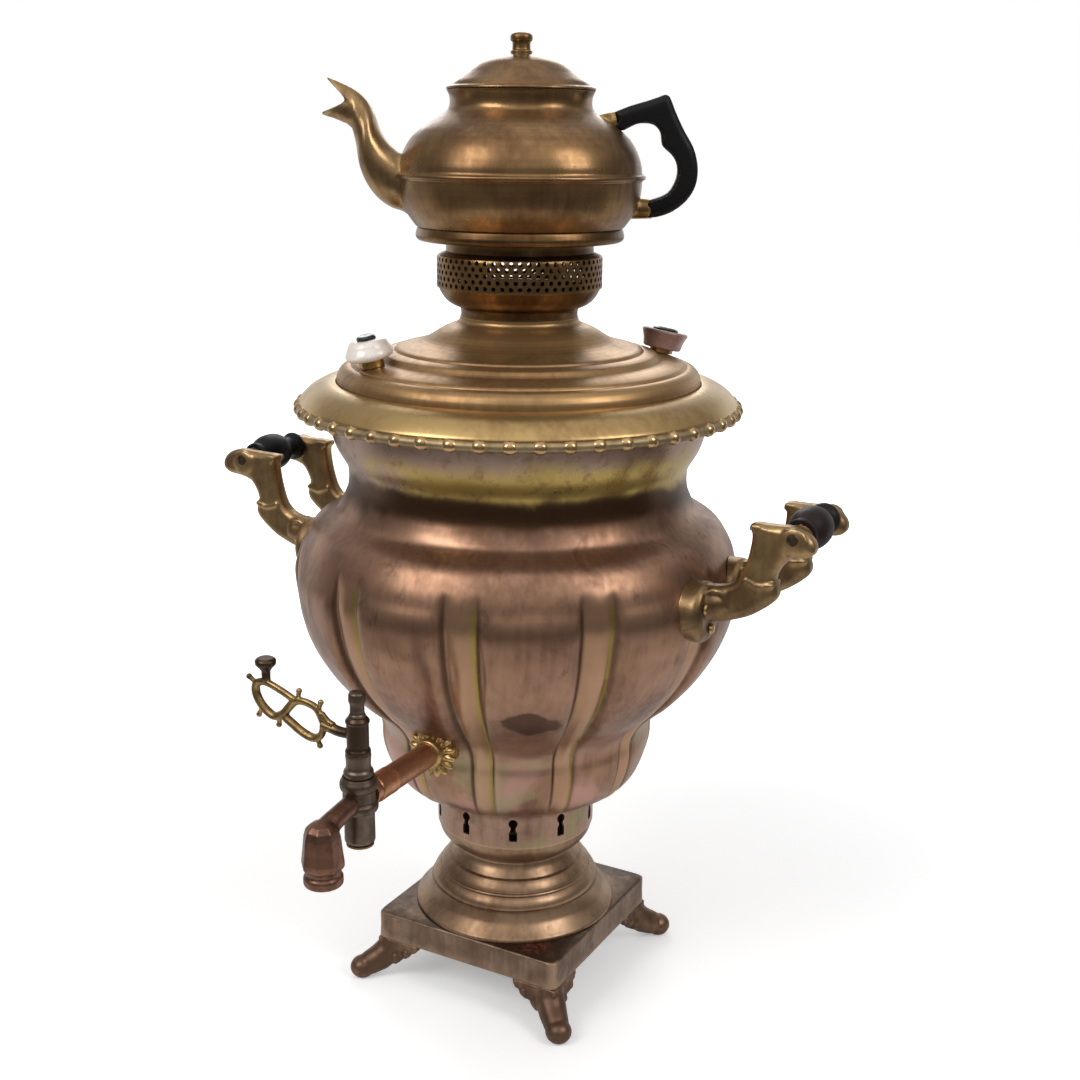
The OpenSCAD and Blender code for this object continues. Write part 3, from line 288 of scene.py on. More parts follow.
bare_share = 0.86


def old_metal(name, bright, brown, dark, rubbed, patches=30.0, brownness=0.5, specks=0.3,
              smooth=0.3, edges=0.6, hollows=0.6, bump=0.25, depth=0.0004, over=None):
    """An aged metal: tarnish, then any colours of the piece's own, then worn edges."""
    made, tree, shader = new_finish(name)
    aged = put(tree, "Group", node_tree=tarnish)
    for label, value in (
            ("Bright", tint(bright)), ("Brown", tint(brown)), ("Dark", tint(dark)), ("Patches", patches),
            ("Brownness", brownness), ("Specks", specks), ("Smooth", smooth)):
        aged.inputs[label].default_value = value
    base, rough = aged.outputs["Color"], aged.outputs["Roughness"]
    if over:
        base, rough = over(tree, aged)
    worn_over(tree, shader, base, rough, Rubbed=tint(rubbed), Dirt=tint(dark), Edges=edges, Hollows=hollows)
    shader.inputs["Metallic"].default_value = bare_share
    grained(tree, shader, aged.outputs["Height"], bump, depth)
    return made


def coated_with(piece, material):
    """Gives a piece one material and no other."""
    piece.data.materials.clear()
    piece.data.materials.append(material)


def finished(piece, material, body, slot, *stands_for):
    """Gives a piece its material, its body and the nodes that it stands for; its slot is not used."""
    coated_with(piece, material)
    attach(piece, body)
    if stands_for:
        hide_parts(*stands_for)
    return piece


def red_paint_on_shaded_top(tree, aged):
    """A top face painted darker, as painted shade, and on it a smear of red paint near the corner at +X and
    -Y.
    """
    place = place_on(tree)
    spot = put(tree, "VectorMath", {0: place, 1: (0.044, -0.052, plate_top)},
               operation="DISTANCE").outputs["Value"]
    flakes = noise_of(tree, place, 330.0, 5.0, 0.7, 0.6)
    near = band_of(tree, spot, 0.022, 0.004)
    mask = band_of(tree, plus(tree, flakes, times(tree, near, 0.25)), 0.73, 0.79)
    tall = parts_of(tree, place)["Z"]
    # Painted shade: the top face is darkened towards brown-black.
    flat = band_of(tree, tall, plate_top - 0.0012, plate_top - 0.0004, 0.0, 0.75)
    colour = blend_of(tree, flat, aged.outputs["Color"], tint("#372a21"))
    colour = blend_of(tree, mask, colour, tint("#8c3a2c"))
    return colour, plus(tree, aged.outputs["Roughness"], times(tree, mask, 0.3))


plate_low, plate_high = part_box("base_plate")
plate_top = plate_high.z
half = plate_high.x / mm
skirt, top = plate_low.z / mm, plate_high.z / mm
plate_wall = 2.4
plate_hole = 26.0
square_power = 34


def square_reach(a, r, z):
    """Swells a circle to a square with slightly rounded corners, for all but the middle hole."""
    if r < plate_hole + 1:
        return 1.0
    return (abs(math.cos(a)) ** square_power + abs(math.sin(a)) ** square_power) ** (-1 / square_power)


plate_outline = [
    (half - 0.5, skirt), (half - 0.1, skirt + 0.5), (half - 0.1, skirt + 0.5), (half - 0.5, skirt + 9),
    (half - 0.4, top - 1.6), (half - 0.5, top - 0.9), (half - 1.0, top - 0.3), (half - 1.8, top),
    (half - 1.8, top), (half - 20, top), (plate_hole, top), (plate_hole, top),
    (plate_hole, top - plate_wall), (plate_hole + 1.5, top - plate_wall),
    (half - plate_wall, top - plate_wall), (half - plate_wall, top - plate_wall),
    (half - plate_wall, skirt), (half - plate_wall, skirt)]
base_bronze = old_metal("brown cast bronze plate", "#8f7764", "#6a5445", "#33261e", "#ad9078", patches=38.0,
                        brownness=0.55, specks=0.55, smooth=0.4, edges=0.75, bump=0.5, depth=0.0005,
                        over=red_paint_on_shaded_top)
plate = turned_piece("base_plate_cast", plate_outline, 256, spread=square_reach)
finished(plate, base_bronze, "samovar", "bronze_base", "base_plate")


# Four cast feet, one under each corner: an angle bracket with a scalloped lower edge, flush with the
# plate's skirt, and a leg that leans outwards to a ball toe. Each is screwed up into a boss in the plate.
def slab_in(made, outline, low, high, turn=None):
    """Adds a plate to a mesh being made: an outline in X and Z, between two heights in Y."""
    turn = turn or Matrix.Identity(4)
    rows = [[made.verts.new(turn @ Vector((x * mm, y * mm, z * mm))) for x, z in outline]
            for y in (low, high)]
    made.faces.new(rows[0])
    made.faces.new(rows[1][::-1])
    for i in range(len(outline)):
        k = (i + 1) % len(outline)
        made.faces.new((rows[0][k], rows[0][i], rows[1][i], rows[1][k]))


def limb_in(made, stations, sides=16, widened=1.0):
    """Adds a limb: circles of (centre, radius), joined, closed at both ends, and widened one way."""
    centres = [Vector(c) * mm for c, r in stations]
    rings = []
    across = None
    for i, (_, radius) in enumerate(stations):
        ahead = (centres[min(i + 1, len(centres) - 1)] - centres[max(i - 1, 0)]).normalized()
        if across is None:
            across = ahead.orthogonal().normalized()
        across = (across - ahead * across.dot(ahead)).normalized()
        other = ahead.cross(across)
        rings.append([made.verts.new(centres[i] + radius * mm * (
            math.cos(j * math.tau / sides) * across + widened * math.sin(j * math.tau / sides) * other))
            for j in range(sides)])
    for near, far in zip(rings, rings[1:]):
        for j in range(sides):
            k = (j + 1) % sides
            made.faces.new((near[j], near[k], far[k], far[j]))
    made.faces.new(rings[0][::-1])
    made.faces.new(rings[-1])


def ball_in(made, centre, radius, squash=(1, 1, 1)):
    """Adds a ball, squashed along the axes."""
    size = Matrix.Diagonal((*[s * radius * mm for s in squash], 1))
    place = Matrix.Translation(Vector(centre) * mm) @ size
    bmesh.ops.create_uvsphere(made, u_segments=20, v_segments=12, radius=1, matrix=place)


def worked_mesh(piece):
    """Gives a piece the plain mesh that its modifiers make of it, and removes them."""
    bpy.context.view_layer.update()
    solid = bpy.data.meshes.new_from_object(piece.evaluated_get(bpy.context.evaluated_depsgraph_get()))
    piece.modifiers.clear()
    piece.data = solid
    return solid


def cast_piece(name, made, grain=0.0009, strokes=6, low=None):
    """Turns overlapping rough forms into one casting: a voxel skin, smoothed, with nothing below a level."""
    bmesh.ops.recalc_face_normals(made, faces=made.faces)
    rough = bpy.data.meshes.new(name)
    made.to_mesh(rough)
    made.free()
    piece = set_out(name, rough)
    skin = piece.modifiers.new("skin", "REMESH")
    skin.mode, skin.voxel_size = "VOXEL", grain
    soft = piece.modifiers.new("soft", "SMOOTH")
    soft.iterations, soft.factor = strokes, 0.5
    solid = worked_mesh(piece)
    if low is not None:
        for v in solid.vertices:
            v.co.z = max(v.co.z, low)
    solid.shade_smooth()
    return piece


bracket_outline = [
    (36.2, 27.4), (36.2, 24.6), (38.4, 21.4), (41.6, 21.2), (42.8, 18), (45.6, 15.4), (49, 15.6),
    (50.2, 12.2), (53, 9.8), (56.4, 9.6), (58, 7), (66.6, 7), (66.6, 27.4)]
bracket_inside, bracket_outside = 58.8, 66.6
knuckle_r = 3.2
swap_x_y = Matrix(((0, 1, 0, 0), (1, 0, 0, 0), (0, 0, 1, 0), (0, 0, 0, 1)))
foot_form = bmesh.new()
slab_in(foot_form, bracket_outline, bracket_inside, bracket_outside)
slab_in(foot_form, bracket_outline, bracket_inside, bracket_outside, swap_x_y)
slab_in(foot_form, [(36, 24.6), (66, 24.6), (66, 27.4), (36, 27.4)], 36, 66)
limb_in(foot_form, [((58, 58, 25), 9), ((61, 61, 17), 9.6), ((66, 66, 11.5), 9.0), ((71.5, 71.5, 8), 8.0)])
ball_in(foot_form, (74.2, 74.2, 6.4), 8.4, (1, 1, 0.9))
for knuckle in ((44.6, 65.6, 20.4), (53, 65.8, 15.4)):
    ball_in(foot_form, knuckle, knuckle_r)
    ball_in(foot_form, swap_x_y @ Vector(knuckle), knuckle_r)
foot_cast = cast_piece("foot_cast", foot_form, low=0.0)
foot_bronze = old_metal("brown cast bronze feet", "#8c6e58", "#654d3d", "#281c16", "#a98869", patches=60.0,
                        brownness=0.6, specks=0.5, smooth=0.42, edges=0.5, bump=0.6, depth=0.0006)
foot_turns = {"foot_rear_right": 0, "foot_rear_left": 90, "foot_front_left": 180, "foot_front_right": 270}
for name, turn in foot_turns.items():
    foot = set_out(name + "_cast", foot_cast.data.copy())
    foot.data.transform(Matrix.Rotation(math.radians(turn), 4, "Z"))
    finished(foot, foot_bronze, "samovar", "bronze_base", name)
bpy.data.objects.remove(foot_cast)


# Pedestal: one bell of spun and turned brass on the plate, with bold steps and fine turned lines,
# soldered to the ash ring at its top. The inside is bare and hollow, because the air is drawn in here.
def raised(points, height):
    """An outline's points, moved up to a height."""
    return [(r, height + z) for r, z in points]


def walled(side, wall):
    """A closed outline: one side from the bottom up, then its inner wall back down."""
    return side + [(r - wall, z) for r, z in reversed(side)]


pedestal_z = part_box("pedestal")[0].z / mm
pedestal_wall = 2.0
pedestal_side = softened(raised([
    (66, 0.05), (66, 0.05), (66.4, 0.9), (66, 2.2), (64.4, 3.8), (61.4, 6.8), (59.2, 9.4), (57.8, 12),
    (56.6, 14.6), (56.2, 15.6), (56.2, 15.6), (54.6, 16.2), (54.6, 16.2), (54.9, 17.2), (54.4, 19.4),
    (53, 21.8), (51.2, 23.6), (50.2, 24.3), (50.2, 24.3), (50.9, 24.9), (50.4, 25.7), (49.6, 26),
    (49.6, 26), (48.5, 28.2), (46.6, 30.8), (44.7, 32.6), (44.7, 32.6), (42.8, 33.2), (42.8, 33.2),
    (41.3, 35.4), (39.4, 38), (38.2, 40.6), (38.1, 41.8), (38.5, 42.6), (40.6, 43.7), (45.2, 47.5),
    (48.6, 51.3), (50.2, 54.8), (50.8, 58.78), (50.8, 58.78)], pedestal_z), 5)
pedestal_bronze = old_metal("brown turned brass", "#a4866a", "#7a5f48", "#352820", "#c8ac8e", patches=26.0,
                            brownness=0.5, specks=0.35, smooth=0.36, edges=0.5, hollows=0.9, bump=0.18)
pedestal = turned_piece("pedestal_spun", walled(pedestal_side, pedestal_wall), 160)
finished(pedestal, pedestal_bronze, "samovar", "bronze_base", "pedestal")


# Ash ring: a band of copper sheet round the grate, pierced with keyhole vents for the draught,
# with a rolled lip that the body is soldered to. Its colours come from the heat.
def cut_from(piece, cutters):
    """Cuts the cutters out of a piece, as a punch does, and leaves a plain mesh."""
    cut = piece.modifiers.new("cut", "BOOLEAN")
    cut.operation, cut.solver, cut.object = "DIFFERENCE", "EXACT", cutters
    worked_mesh(piece).set_sharp_from_angle(angle=math.radians(32))
    bpy.data.objects.remove(cutters)


ring_low, ring_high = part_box("ash_ring")
ring_r, ring_z, ring_top = ring_high.x / mm - 0.7, ring_low.z / mm, ring_high.z / mm
ring_inner, lip_inner, lip_under = ring_r - 1.8, ring_r - 5, ring_top - 1.4
ring_outline = softened([
    (ring_inner, ring_z), (ring_inner, ring_z), (ring_r, ring_z), (ring_r, ring_z),
    (ring_r + 0.1, ring_z + 6), (ring_r, ring_top - 2), (ring_r, ring_top - 2),
    (ring_r + 0.6, ring_top - 1.5), (ring_r + 0.6, ring_top - 0.5), (ring_r, ring_top), (ring_r, ring_top),
    (lip_inner, ring_top), (lip_inner, ring_top), (lip_inner, lip_under), (lip_inner, lip_under),
    (ring_inner, lip_under), (ring_inner, lip_under), (ring_inner, ring_z)], 4)
ash_ring = turned_piece("ash_ring_band", ring_outline, 200)
vent_count, vent_first, vent_rise = 10, -62, 13.4
keyhole = [
    (-1.7, 1.6), (-2.5, 2.6), (-3, 4.2), (-2.4, 6.0), (-0.9, 7.2), (0.9, 7.2), (2.4, 6.0), (3, 4.2),
    (2.5, 2.6), (1.7, 1.6), (1.6, 0.2), (2.7, -2.2), (2.6, -7.6), (2.0, -8), (-2.0, -8), (-2.6, -7.6),
    (-2.7, -2.2), (-1.6, 0.2)]
punches = bmesh.new()
for k in range(vent_count):
    turn = Matrix.Rotation(math.radians(vent_first + 90 + k * 360 / vent_count), 4, "Z")
    slab_in(punches, [(x, ring_z + vent_rise + z) for x, z in keyhole], -ring_r - 4, -ring_r + 6, turn)
bmesh.ops.recalc_face_normals(punches, faces=punches.faces)
punch_mesh = bpy.data.meshes.new("punches")
punches.to_mesh(punch_mesh)
punches.free()
cut_from(ash_ring, set_out("punches", punch_mesh))


def heat_colours(tree, aged):
    """Rose, straw and green patches, as copper shows after heat."""
    place = place_on(tree)
    warm = noise_of(tree, place, 32.0, 3.0, 0.5, 0.8)
    cool = noise_of(tree, mapped(tree, place, Location=(0.4, 0.2, 0.1)), 26.0, 3.0)
    colour = blend_of(tree, band_of(tree, warm, 0.5, 0.66, 0.0, 0.8), aged.outputs["Color"], tint("#b98d76"))
    colour = blend_of(tree, band_of(tree, cool, 0.54, 0.68, 0.0, 0.75), colour, tint("#9a9068"))
    return colour, aged.outputs["Roughness"]


ring_copper = old_metal("heat-coloured copper band", "#a58571", "#7d6050", "#33231a", "#bfa080",
                        patches=30.0, brownness=0.45, specks=0.3, smooth=0.3, edges=0.4, bump=0.15,
                        over=heat_colours)
finished(ash_ring, ring_copper, "samovar", "copper_body", "ash_ring")


# Fire tube, grate and vessel floor: the sheet-iron chimney that holds the charcoal, its cast grate and the
# tinned disc that closes the water space round it. They are black with soot, or grey with scale.
def dull_metal(name, colour, second, rough, metallic, size=60.0, bump=0.4):
    """A plain hidden metal with two mottled colours and an uneven skin."""
    made, tree, shader = new_finish(name)
    place = place_on(tree)
    cloud = noise_of(tree, place, size, 6.0, 0.65, 0.5)
    fine = noise_of(tree, place, size * 12, 3.0)
    mottled = blend_of(tree, band_of(tree, cloud, 0.35, 0.65), tint(colour), tint(second))
    tree.links.new(mottled, shader.inputs["Base Color"])
    tree.links.new(band_of(tree, cloud, 0.3, 0.7, rough - 0.1, rough + 0.12), shader.inputs["Roughness"])
    shader.inputs["Metallic"].default_value = metallic
    grained(tree, shader, plus(tree, cloud, times(tree, fine, 0.5)), bump, 0.0005)
    return made


soot = dull_metal("sooty iron", "#2c2622", "#4d3f34", 0.62, 0.7)
tinning = dull_metal("grey tinning", "#8c8778", "#6d6353", 0.45, 0.9, 45.0, 0.25)
screw_brass = dull_metal("old screw brass", "#8f7146", "#5f4830", 0.38, 1.0, 220.0, 0.3)
for material, names in ((soot, ("fire_tube", "grate")), (screw_brass, ("foot_screws", "tap_retainer")),
                        (tinning, ("vessel_floor", "tap_lock_nut", "pot_floor", "pot_strainer"))):
    for name in names:
        coated_with(node[name], material)


# Urn: raised and chased from sheet copper in eleven lobes with polished ribs between them. A smooth shoulder
# and a straight neck run up to the rim. Its waist was hammered in, and its seams are soldered.
urn_low, urn_high = (level.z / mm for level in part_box("body_shell"))
urn_tall = urn_high - urn_low
lobe_count = 11
rib_half, crease_half, scallop_climb = 0.235, 0.075, 13
# The urn's lines are points of (height over its lower edge, millimetres outwards), all up to one last height.
side_end = 263
urn_side = [
    (0, 52.4), (1.2, 55.6), (2.8, 59.2), (5, 64.4), (7.8, 70.4), (12, 76), (18, 80.4), (24, 83), (30, 85),
    (36, 86.4), (42, 87.2), (47, 87.4), (52, 88.4), (57, 91), (64.5, 97.2), (72, 105.4), (80, 112.9),
    (87, 118.7), (94, 123.6), (107.6, 131.2), (121.5, 136.4), (135, 139), (149, 140), (162, 137.5),
    (168, 135.3), (175.4, 131.2), (181.5, 126.6), (187.3, 117.6), (190, 112.8), (195, 109.6), (199, 107.8),
    (204, 105.9), (211, 105.2), (217, 105.6), (222.9, 108.5), (227, 111), (230.6, 112.8), (237, 115),
    (245.3, 116.9), (254.2, 118.3), (side_end, 118.9)]
lobe_dips = [(0, 0), (36, 0), (46, -0.7), (53, -1.1), (60, -0.6), (70, 0), (side_end, 0)]
rib_dips = [
    (0, 0), (34, 0), (44, -0.4), (57, -1.2), (65, -2.4), (80, -4), (107, -4.2), (129, -3.6), (147, -2.4),
    (161, -1.2), (173, 0), (side_end, 0)]
crown_rise = [
    (0, 0), (117, 0), (135, 0.5), (147, 0.9), (156, 0.4), (163, -0.5), (171, -0.3), (179, 0),
    (side_end, 0)]
crease_depth = [
    (0, 0.4), (19, 0.9), (49, 1.6), (99, 1.6), (131, 1.5), (151, 1.2), (165, 0.7), (173, 0), (side_end, 0)]
foot_climb = [(0, 0.6), (29, 1), (55, 1), (85, 0.25), (109, 0), (side_end, 0)]


def read_line(points):
    """A smooth monotone curve through points of (height, value), read with arrays."""
    x, y = np.array(points, float).T
    step = np.diff(y) / np.diff(x)
    slope = np.zeros_like(y)
    same = step[:-1] * step[1:] > 0
    wide = np.diff(x)
    w1, w2 = 2 * wide[1:] + wide[:-1], wide[1:] + 2 * wide[:-1]
    with np.errstate(divide="ignore", invalid="ignore"):
        slope[1:-1] = np.where(same, (w1 + w2) / (w1 / step[:-1] + w2 / step[1:]), 0)
    slope[0], slope[-1] = step[0], step[-1]

    def read(at):
        at = np.clip(at, x[0], x[-1])
        i = np.clip(np.searchsorted(x, at, side="right") - 1, 0, len(x) - 2)
        t = (at - x[i]) / wide[i]
        return ((2 * t**3 - 3 * t**2 + 1) * y[i] + (t**3 - 2 * t**2 + t) * wide[i] * slope[i]
                + (3 * t**2 - 2 * t**3) * y[i + 1] + (t**3 - t**2) * wide[i] * slope[i + 1])

    return read


side_of, lobe_of, rib_of = read_line(urn_side), read_line(lobe_dips), read_line(rib_dips)
crease_of, climb_of, rise_of = read_line(crease_depth), read_line(foot_climb), read_line(crown_rise)


def urn_radius(height, share):
    """The urn's radius at a height over the ash ring; share runs from 0 on a rib to 1 in a lobe's middle."""
    out = np.clip((share - rib_half) / (1 - rib_half), 0, 1)
    bulge = np.sqrt(1 - (1 - out) ** 2)
    side = side_of(height) + rise_of(height) * bulge
    lobe = side + lobe_of(height - scallop_climb * (1 - bulge) * climb_of(height))
    rib = side + rib_of(height)
    mix = np.clip(bulge * 1.35, 0, 1)
    mix = mix * mix * (3 - 2 * mix)
    crease = crease_of(height) * np.exp(-((out / crease_half) ** 2)) * (share > rib_half * 0.55)
    on_rib = np.clip((rib_half - share) / rib_half, 0, 1)
    rib_round = 0.55 * crease_of(height) * np.sqrt(on_rib)
    return rib * (1 - mix) + lobe * mix - crease + rib_round


lobe_shares = np.array([0, 0.1, 0.19, 0.225, 0.25, 0.28, 0.33, 0.40, 0.48, 0.58, 0.69, 0.8, 0.9, 1.0])
one_lobe = np.concatenate([lobe_shares, 2 - lobe_shares[-2:0:-1]])
turns = (np.arange(lobe_count)[:, None] + one_lobe[None, :] / 2).ravel() / lobe_count
shares = np.tile(np.minimum(one_lobe, 2 - one_lobe), lobe_count)
around = turns * math.tau + math.pi / 2
heights = np.concatenate([
    np.linspace(0, 8, 7), np.linspace(10, 35, 11), np.linspace(36.5, 69, 28), np.linspace(71, 149, 38),
    np.linspace(151.5, 211, 28), np.linspace(214, urn_tall, 18)])
columns = len(around)
skin_wall = 1.3
outer = urn_radius(heights[:, None], shares[None, :])
inner_heights = [urn_tall, 250, 240, 232, 226, 221, 212, 204, 195, 181, 159, 135, 107, 87, 72, 59, 47, 36,
                 19, 8, 3.2]


def inner_radius(height):
    """The plain turned inside: a wall's thickness within the tightest place near that height."""
    near = [urn_radius(np.clip(height + step, 0, side_end), share) for step in (-3, 0, 3)
            for share in (0.0, 0.3, 0.6, 1.0)]
    return np.full(columns, float(min(near)) - skin_wall)


bottom_hole = np.full(columns, 50.2)
rows = list(zip(heights, outer)) + [(h, inner_radius(h)) for h in inner_heights] + [
    (2.4, bottom_hole), (0.0, bottom_hole)]
ring_verts = np.concatenate([np.stack(
    [r * np.cos(around), r * np.sin(around), np.full(columns, urn_low + h)], 1) for h, r in rows]) * mm
urn = merged_piece("urn_lobed_shell", ring_verts, loop_faces(len(rows), columns), 40)


def named_values(piece, name, values):
    """Stores one number for each corner of a mesh, for its material to read."""
    layer = piece.data.attributes.new(name, "FLOAT", "POINT")
    layer.data.foreach_set("value", np.asarray(values, "f"))


corner = np.empty(len(urn.data.vertices) * 3, "f")
urn.data.vertices.foreach_get("co", corner)
corner = corner.reshape(-1, 3) / mm
lap = (np.arctan2(corner[:, 1], corner[:, 0]) - math.pi / 2) / math.tau * lobe_count
share_at = 2 * np.minimum(lap % 1, 1 - lap % 1)
height_at = corner[:, 2] - urn_low
on_the_lit_right = lap % 1 < 0.5
fade = np.clip(crease_of(height_at), 0, 1)
off_edge = share_at - rib_half
named_values(urn, "rib", (off_edge < 0) * fade)
# Yellow-green brass at each rib's edge, with a painted highlight: stronger on the right side, where the light
# falls.
named_values(urn, "rib_edge_and_highlight",
             np.clip(1 - np.abs(off_edge + 0.03) / 0.07, 0, 1) * fade * np.where(on_the_lit_right, 1, 0.35))
# Painted shade: a dark line along each rib's crease, heavier on the left side, away from the light.
named_values(urn, "crease", np.exp(-((off_edge - 0.03) / 0.04) ** 2) * fade * np.where(on_the_lit_right, 0.6, 1))


def urn_colours(tree, aged):
    """Yellow round the neck with lilac sides as a painted reflection, over a dark ring of painted shade and
    stain; dark patches round the belly and one dark mark on the front lobe as painted reflections; pale ribs
    with painted highlights on their edges and painted shade in their creases; rose and green from the heat.
    """
    where = place_on(tree)
    tall = parts_of(tree, where)["Z"]
    cloud = noise_of(tree, where, 26.0, 4.0, 0.55, 0.6)
    small = noise_of(tree, where, 120.0, 5.0, 0.65, 0.3)
    ragged = plus(tree, tall, swing_of(tree, cloud, 0.02))
    colour, rough = aged.outputs["Color"], aged.outputs["Roughness"]

    low = band_of(tree, ragged, 0.2, 0.165)
    for code, shift, scale, wide, least, most in (
            ("#c4978a", (0.3, 0.1, 0.5), (22.0, 3.0, 0.5, 0.8), (0.44, 0.62), 0.1, 0.6),
            ("#a39c76", (0.7, 0.4, 0.2), (30.0, 3.0, 0.5, 0.6), (0.52, 0.66), 0.03, 0.55)):
        patch = band_of(tree, noise_of(tree, mapped(tree, where, Location=shift), *scale), *wide)
        patch = times(tree, patch, plus(tree, least, times(tree, low, most)))
        colour = blend_of(tree, patch, colour, tint(code))
    # Painted reflection: a band of dark brown patches round the belly, where the dark room is seen in the
    # metal.
    dark_room_band = noise_of(tree, mapped(tree, where, Scale=(1.0, 1.0, 0.45)), 46.0, 5.0, 0.6, 1.2)
    dark_room_band = times(tree, band_of(tree, dark_room_band, 0.56, 0.72, 0.0, 0.6), band_of(tree, ragged, 0.19, 0.23))
    colour = blend_of(tree, dark_room_band, colour, tint("#5a4032"))

    # Painted reflection: one dark pointed oval low on the front lobe, as the dark room seen in its hollow.
    aside = along_of(tree, where, (55.9, 36.3, 0.0))
    rise = times(tree, reckoned(tree, "SUBTRACT", tall, 0.22), 95.0)
    rise = plus(tree, rise, times(tree, aside, 0.2))
    aside, rise = (reckoned(tree, "POWER", reckoned(tree, "ABSOLUTE", part), 1.25) for part in (aside, rise))
    painted_dark_reflection = plus(tree, plus(tree, times(tree, aside, 0.85), rise), swing_of(tree, cloud, 2.2))
    front_only = band_of(tree, along_of(tree, where, (0.545, -0.839, 0.0)), 0.04, 0.06)
    colour = blend_of(tree, times(tree, band_of(tree, painted_dark_reflection, 1.15, 0.85, 0.0, 0.85), front_only), colour,
                      tint("#4c3023"))

    rib, edge, crease = (put(tree, "Attribute", attribute_name=name).outputs["Fac"]
                         for name in ("rib", "rib_edge_and_highlight", "crease"))
    colour = blend_of(tree, times(tree, rib, 0.7), colour, tint("#ba9272"))
    # Painted highlight with yellow-green brass on the rib edges, strongest on their lit right sides.
    edge = band_of(tree, plus(tree, edge, reckoned(tree, "SUBTRACT", small, 0.5)), 0.25, 0.75, 0.0, 0.85)
    colour = blend_of(tree, edge, colour, tint("#a6904a"))

    neck = times(tree, band_of(tree, ragged, 0.341, 0.347), band_of(tree, tall, 0.397, 0.39))
    # Painted reflection: the neck is yellow brass towards the front right and pale lilac to the sides, as the
    # pale floor seen in it.
    bright = plus(tree, times(tree, cloud, 1.1), along_of(tree, where, (3.6, -4.0, 0.0)))
    bright = times(tree, band_of(tree, bright, 0.74, 0.98), band_of(tree, ragged, 0.372, 0.358))
    neck_colour_with_reflection = blend_of(tree, bright, tint("#a58a7c"), tint("#b59b57"))
    neck_colour_with_reflection = blend_of(tree, band_of(tree, small, 0.5, 0.7, 0.0, 0.7), neck_colour_with_reflection, tint("#7c6440"))
    colour = blend_of(tree, times(tree, neck, 0.95), colour, neck_colour_with_reflection)

    # Painted shade with stain: a dark brown ring where the neck meets the shoulder, under the rim's overhang.
    ring = times(tree, band_of(tree, ragged, 0.324, 0.335), band_of(tree, ragged, 0.351, 0.343))
    colour = blend_of(tree, times(tree, ring, 0.9), colour, tint("#4b321f"))
    # Painted shade in the creases beside the ribs.
    colour = blend_of(tree, times(tree, crease, 0.85), colour, tint("#402a1d"))
    rough = plus(tree, rough, times(tree, crease, 0.15))
    return colour, reckoned(tree, "SUBTRACT", rough, times(tree, neck, 0.04))


urn_copper = old_metal("brown copper of the urn", "#a27d64", "#785845", "#3f2c22", "#c7a68c", patches=20.0,
                       brownness=0.5, specks=0.22, smooth=0.34, edges=0.12, hollows=0.25, bump=0.12,
                       depth=0.0004, over=urn_colours)
finished(urn, urn_copper, "samovar", "copper_body", "body_shell")


# Rim: a broad brass flange spun over the urn's neck, with a curled lip. It stays the brightest part,
# because it is wiped most often. A string of cast beads is soldered into a groove under the lip.
lid_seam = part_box("rim_flange")[1].z / mm
rim_outline = softened(raised([
    (102.6, -6.7), (102.6, -6.7), (114.4, -6.7), (114.4, -6.7), (114.4, -11.6), (114.4, -11.6),
    (116.3, -11.6), (116.3, -11.6), (116.3, -6.8), (116.3, -6.8), (119, -6.8), (119, -6.8), (120.4, -5.3),
    (123.4, -5.2), (127.6, -7.4), (130.6, -10.4), (131.6, -12.6), (132.8, -14.6), (132.8, -14.6),
    (134.4, -12.4), (132.4, -9.4), (128.6, -5.8), (123.6, -2.9), (117.5, -0.9), (112.6, -0.05),
    (112.6, -0.05), (112, -0.3), (112, -3.4), (112, -3.4), (102.6, -3.4), (102.6, -3.4),
    (102.6, -6.7)], lid_seam), 5)
rim_brass = old_metal("wiped rim brass", "#b99a66", "#8e6e48", "#4a3522", "#d3ba88", patches=16.0,
                      brownness=0.4, specks=0.14, smooth=0.31, edges=0.35, hollows=0.7, bump=0.03)
rim = turned_piece("rim_spun", rim_outline, 220)
finished(rim, rim_brass, "samovar", "rim_brass", "rim_flange")


def tree_of(name, inputs, material):
    """A geometry tree with named inputs: the tree, its inputs, a maker of nodes, and a way to end it.

    It ends by making its instances real and giving them their material.
    """
    tree = bpy.data.node_groups.new(name, "GeometryNodeTree")
    for label, kind, value in inputs:
        socket = tree.interface.new_socket(name=label, in_out="INPUT", socket_type="NodeSocket" + kind)
        socket.default_value = value
    tree.interface.new_socket(name="Geometry", in_out="OUTPUT", socket_type="NodeSocketGeometry")
    given = tree.nodes.new("NodeGroupInput").outputs
    result = tree.nodes.new("NodeGroupOutput").inputs["Geometry"]

    def add(kind, inputs=None, **settings):
        """A node with its settings, and its inputs set or linked."""
        made = tree.nodes.new(kind)
        for key, value in settings.items():
            setattr(made, key, value)
        for key, value in (inputs or {}).items():
            if isinstance(value, bpy.types.NodeSocket):
                tree.links.new(value, made.inputs[key])
            else:
                made.inputs[key].default_value = value
        return made

    def end(shape):
        """Makes the shape's instances real, coats them and hands them on."""
        real = add("GeometryNodeRealizeInstances", {"Geometry": shape})
        coated = add("GeometryNodeSetMaterial", {"Geometry": real.outputs["Geometry"], "Material": material})
        tree.links.new(coated.outputs["Geometry"], result)

    return tree, given, add, end


def worked_on(piece, tree, values):
    """Runs a geometry tree on a piece with the given sizes, and keeps the result as its plain mesh."""
    work = piece.modifiers.new("work", "NODES")
    work.node_group = tree
    for socket in tree.interface.items_tree:
        if socket.item_type == "SOCKET" and socket.in_out == "INPUT" and socket.name in values:
            work[socket.identifier] = values[socket.name]
    return worked_mesh(piece)


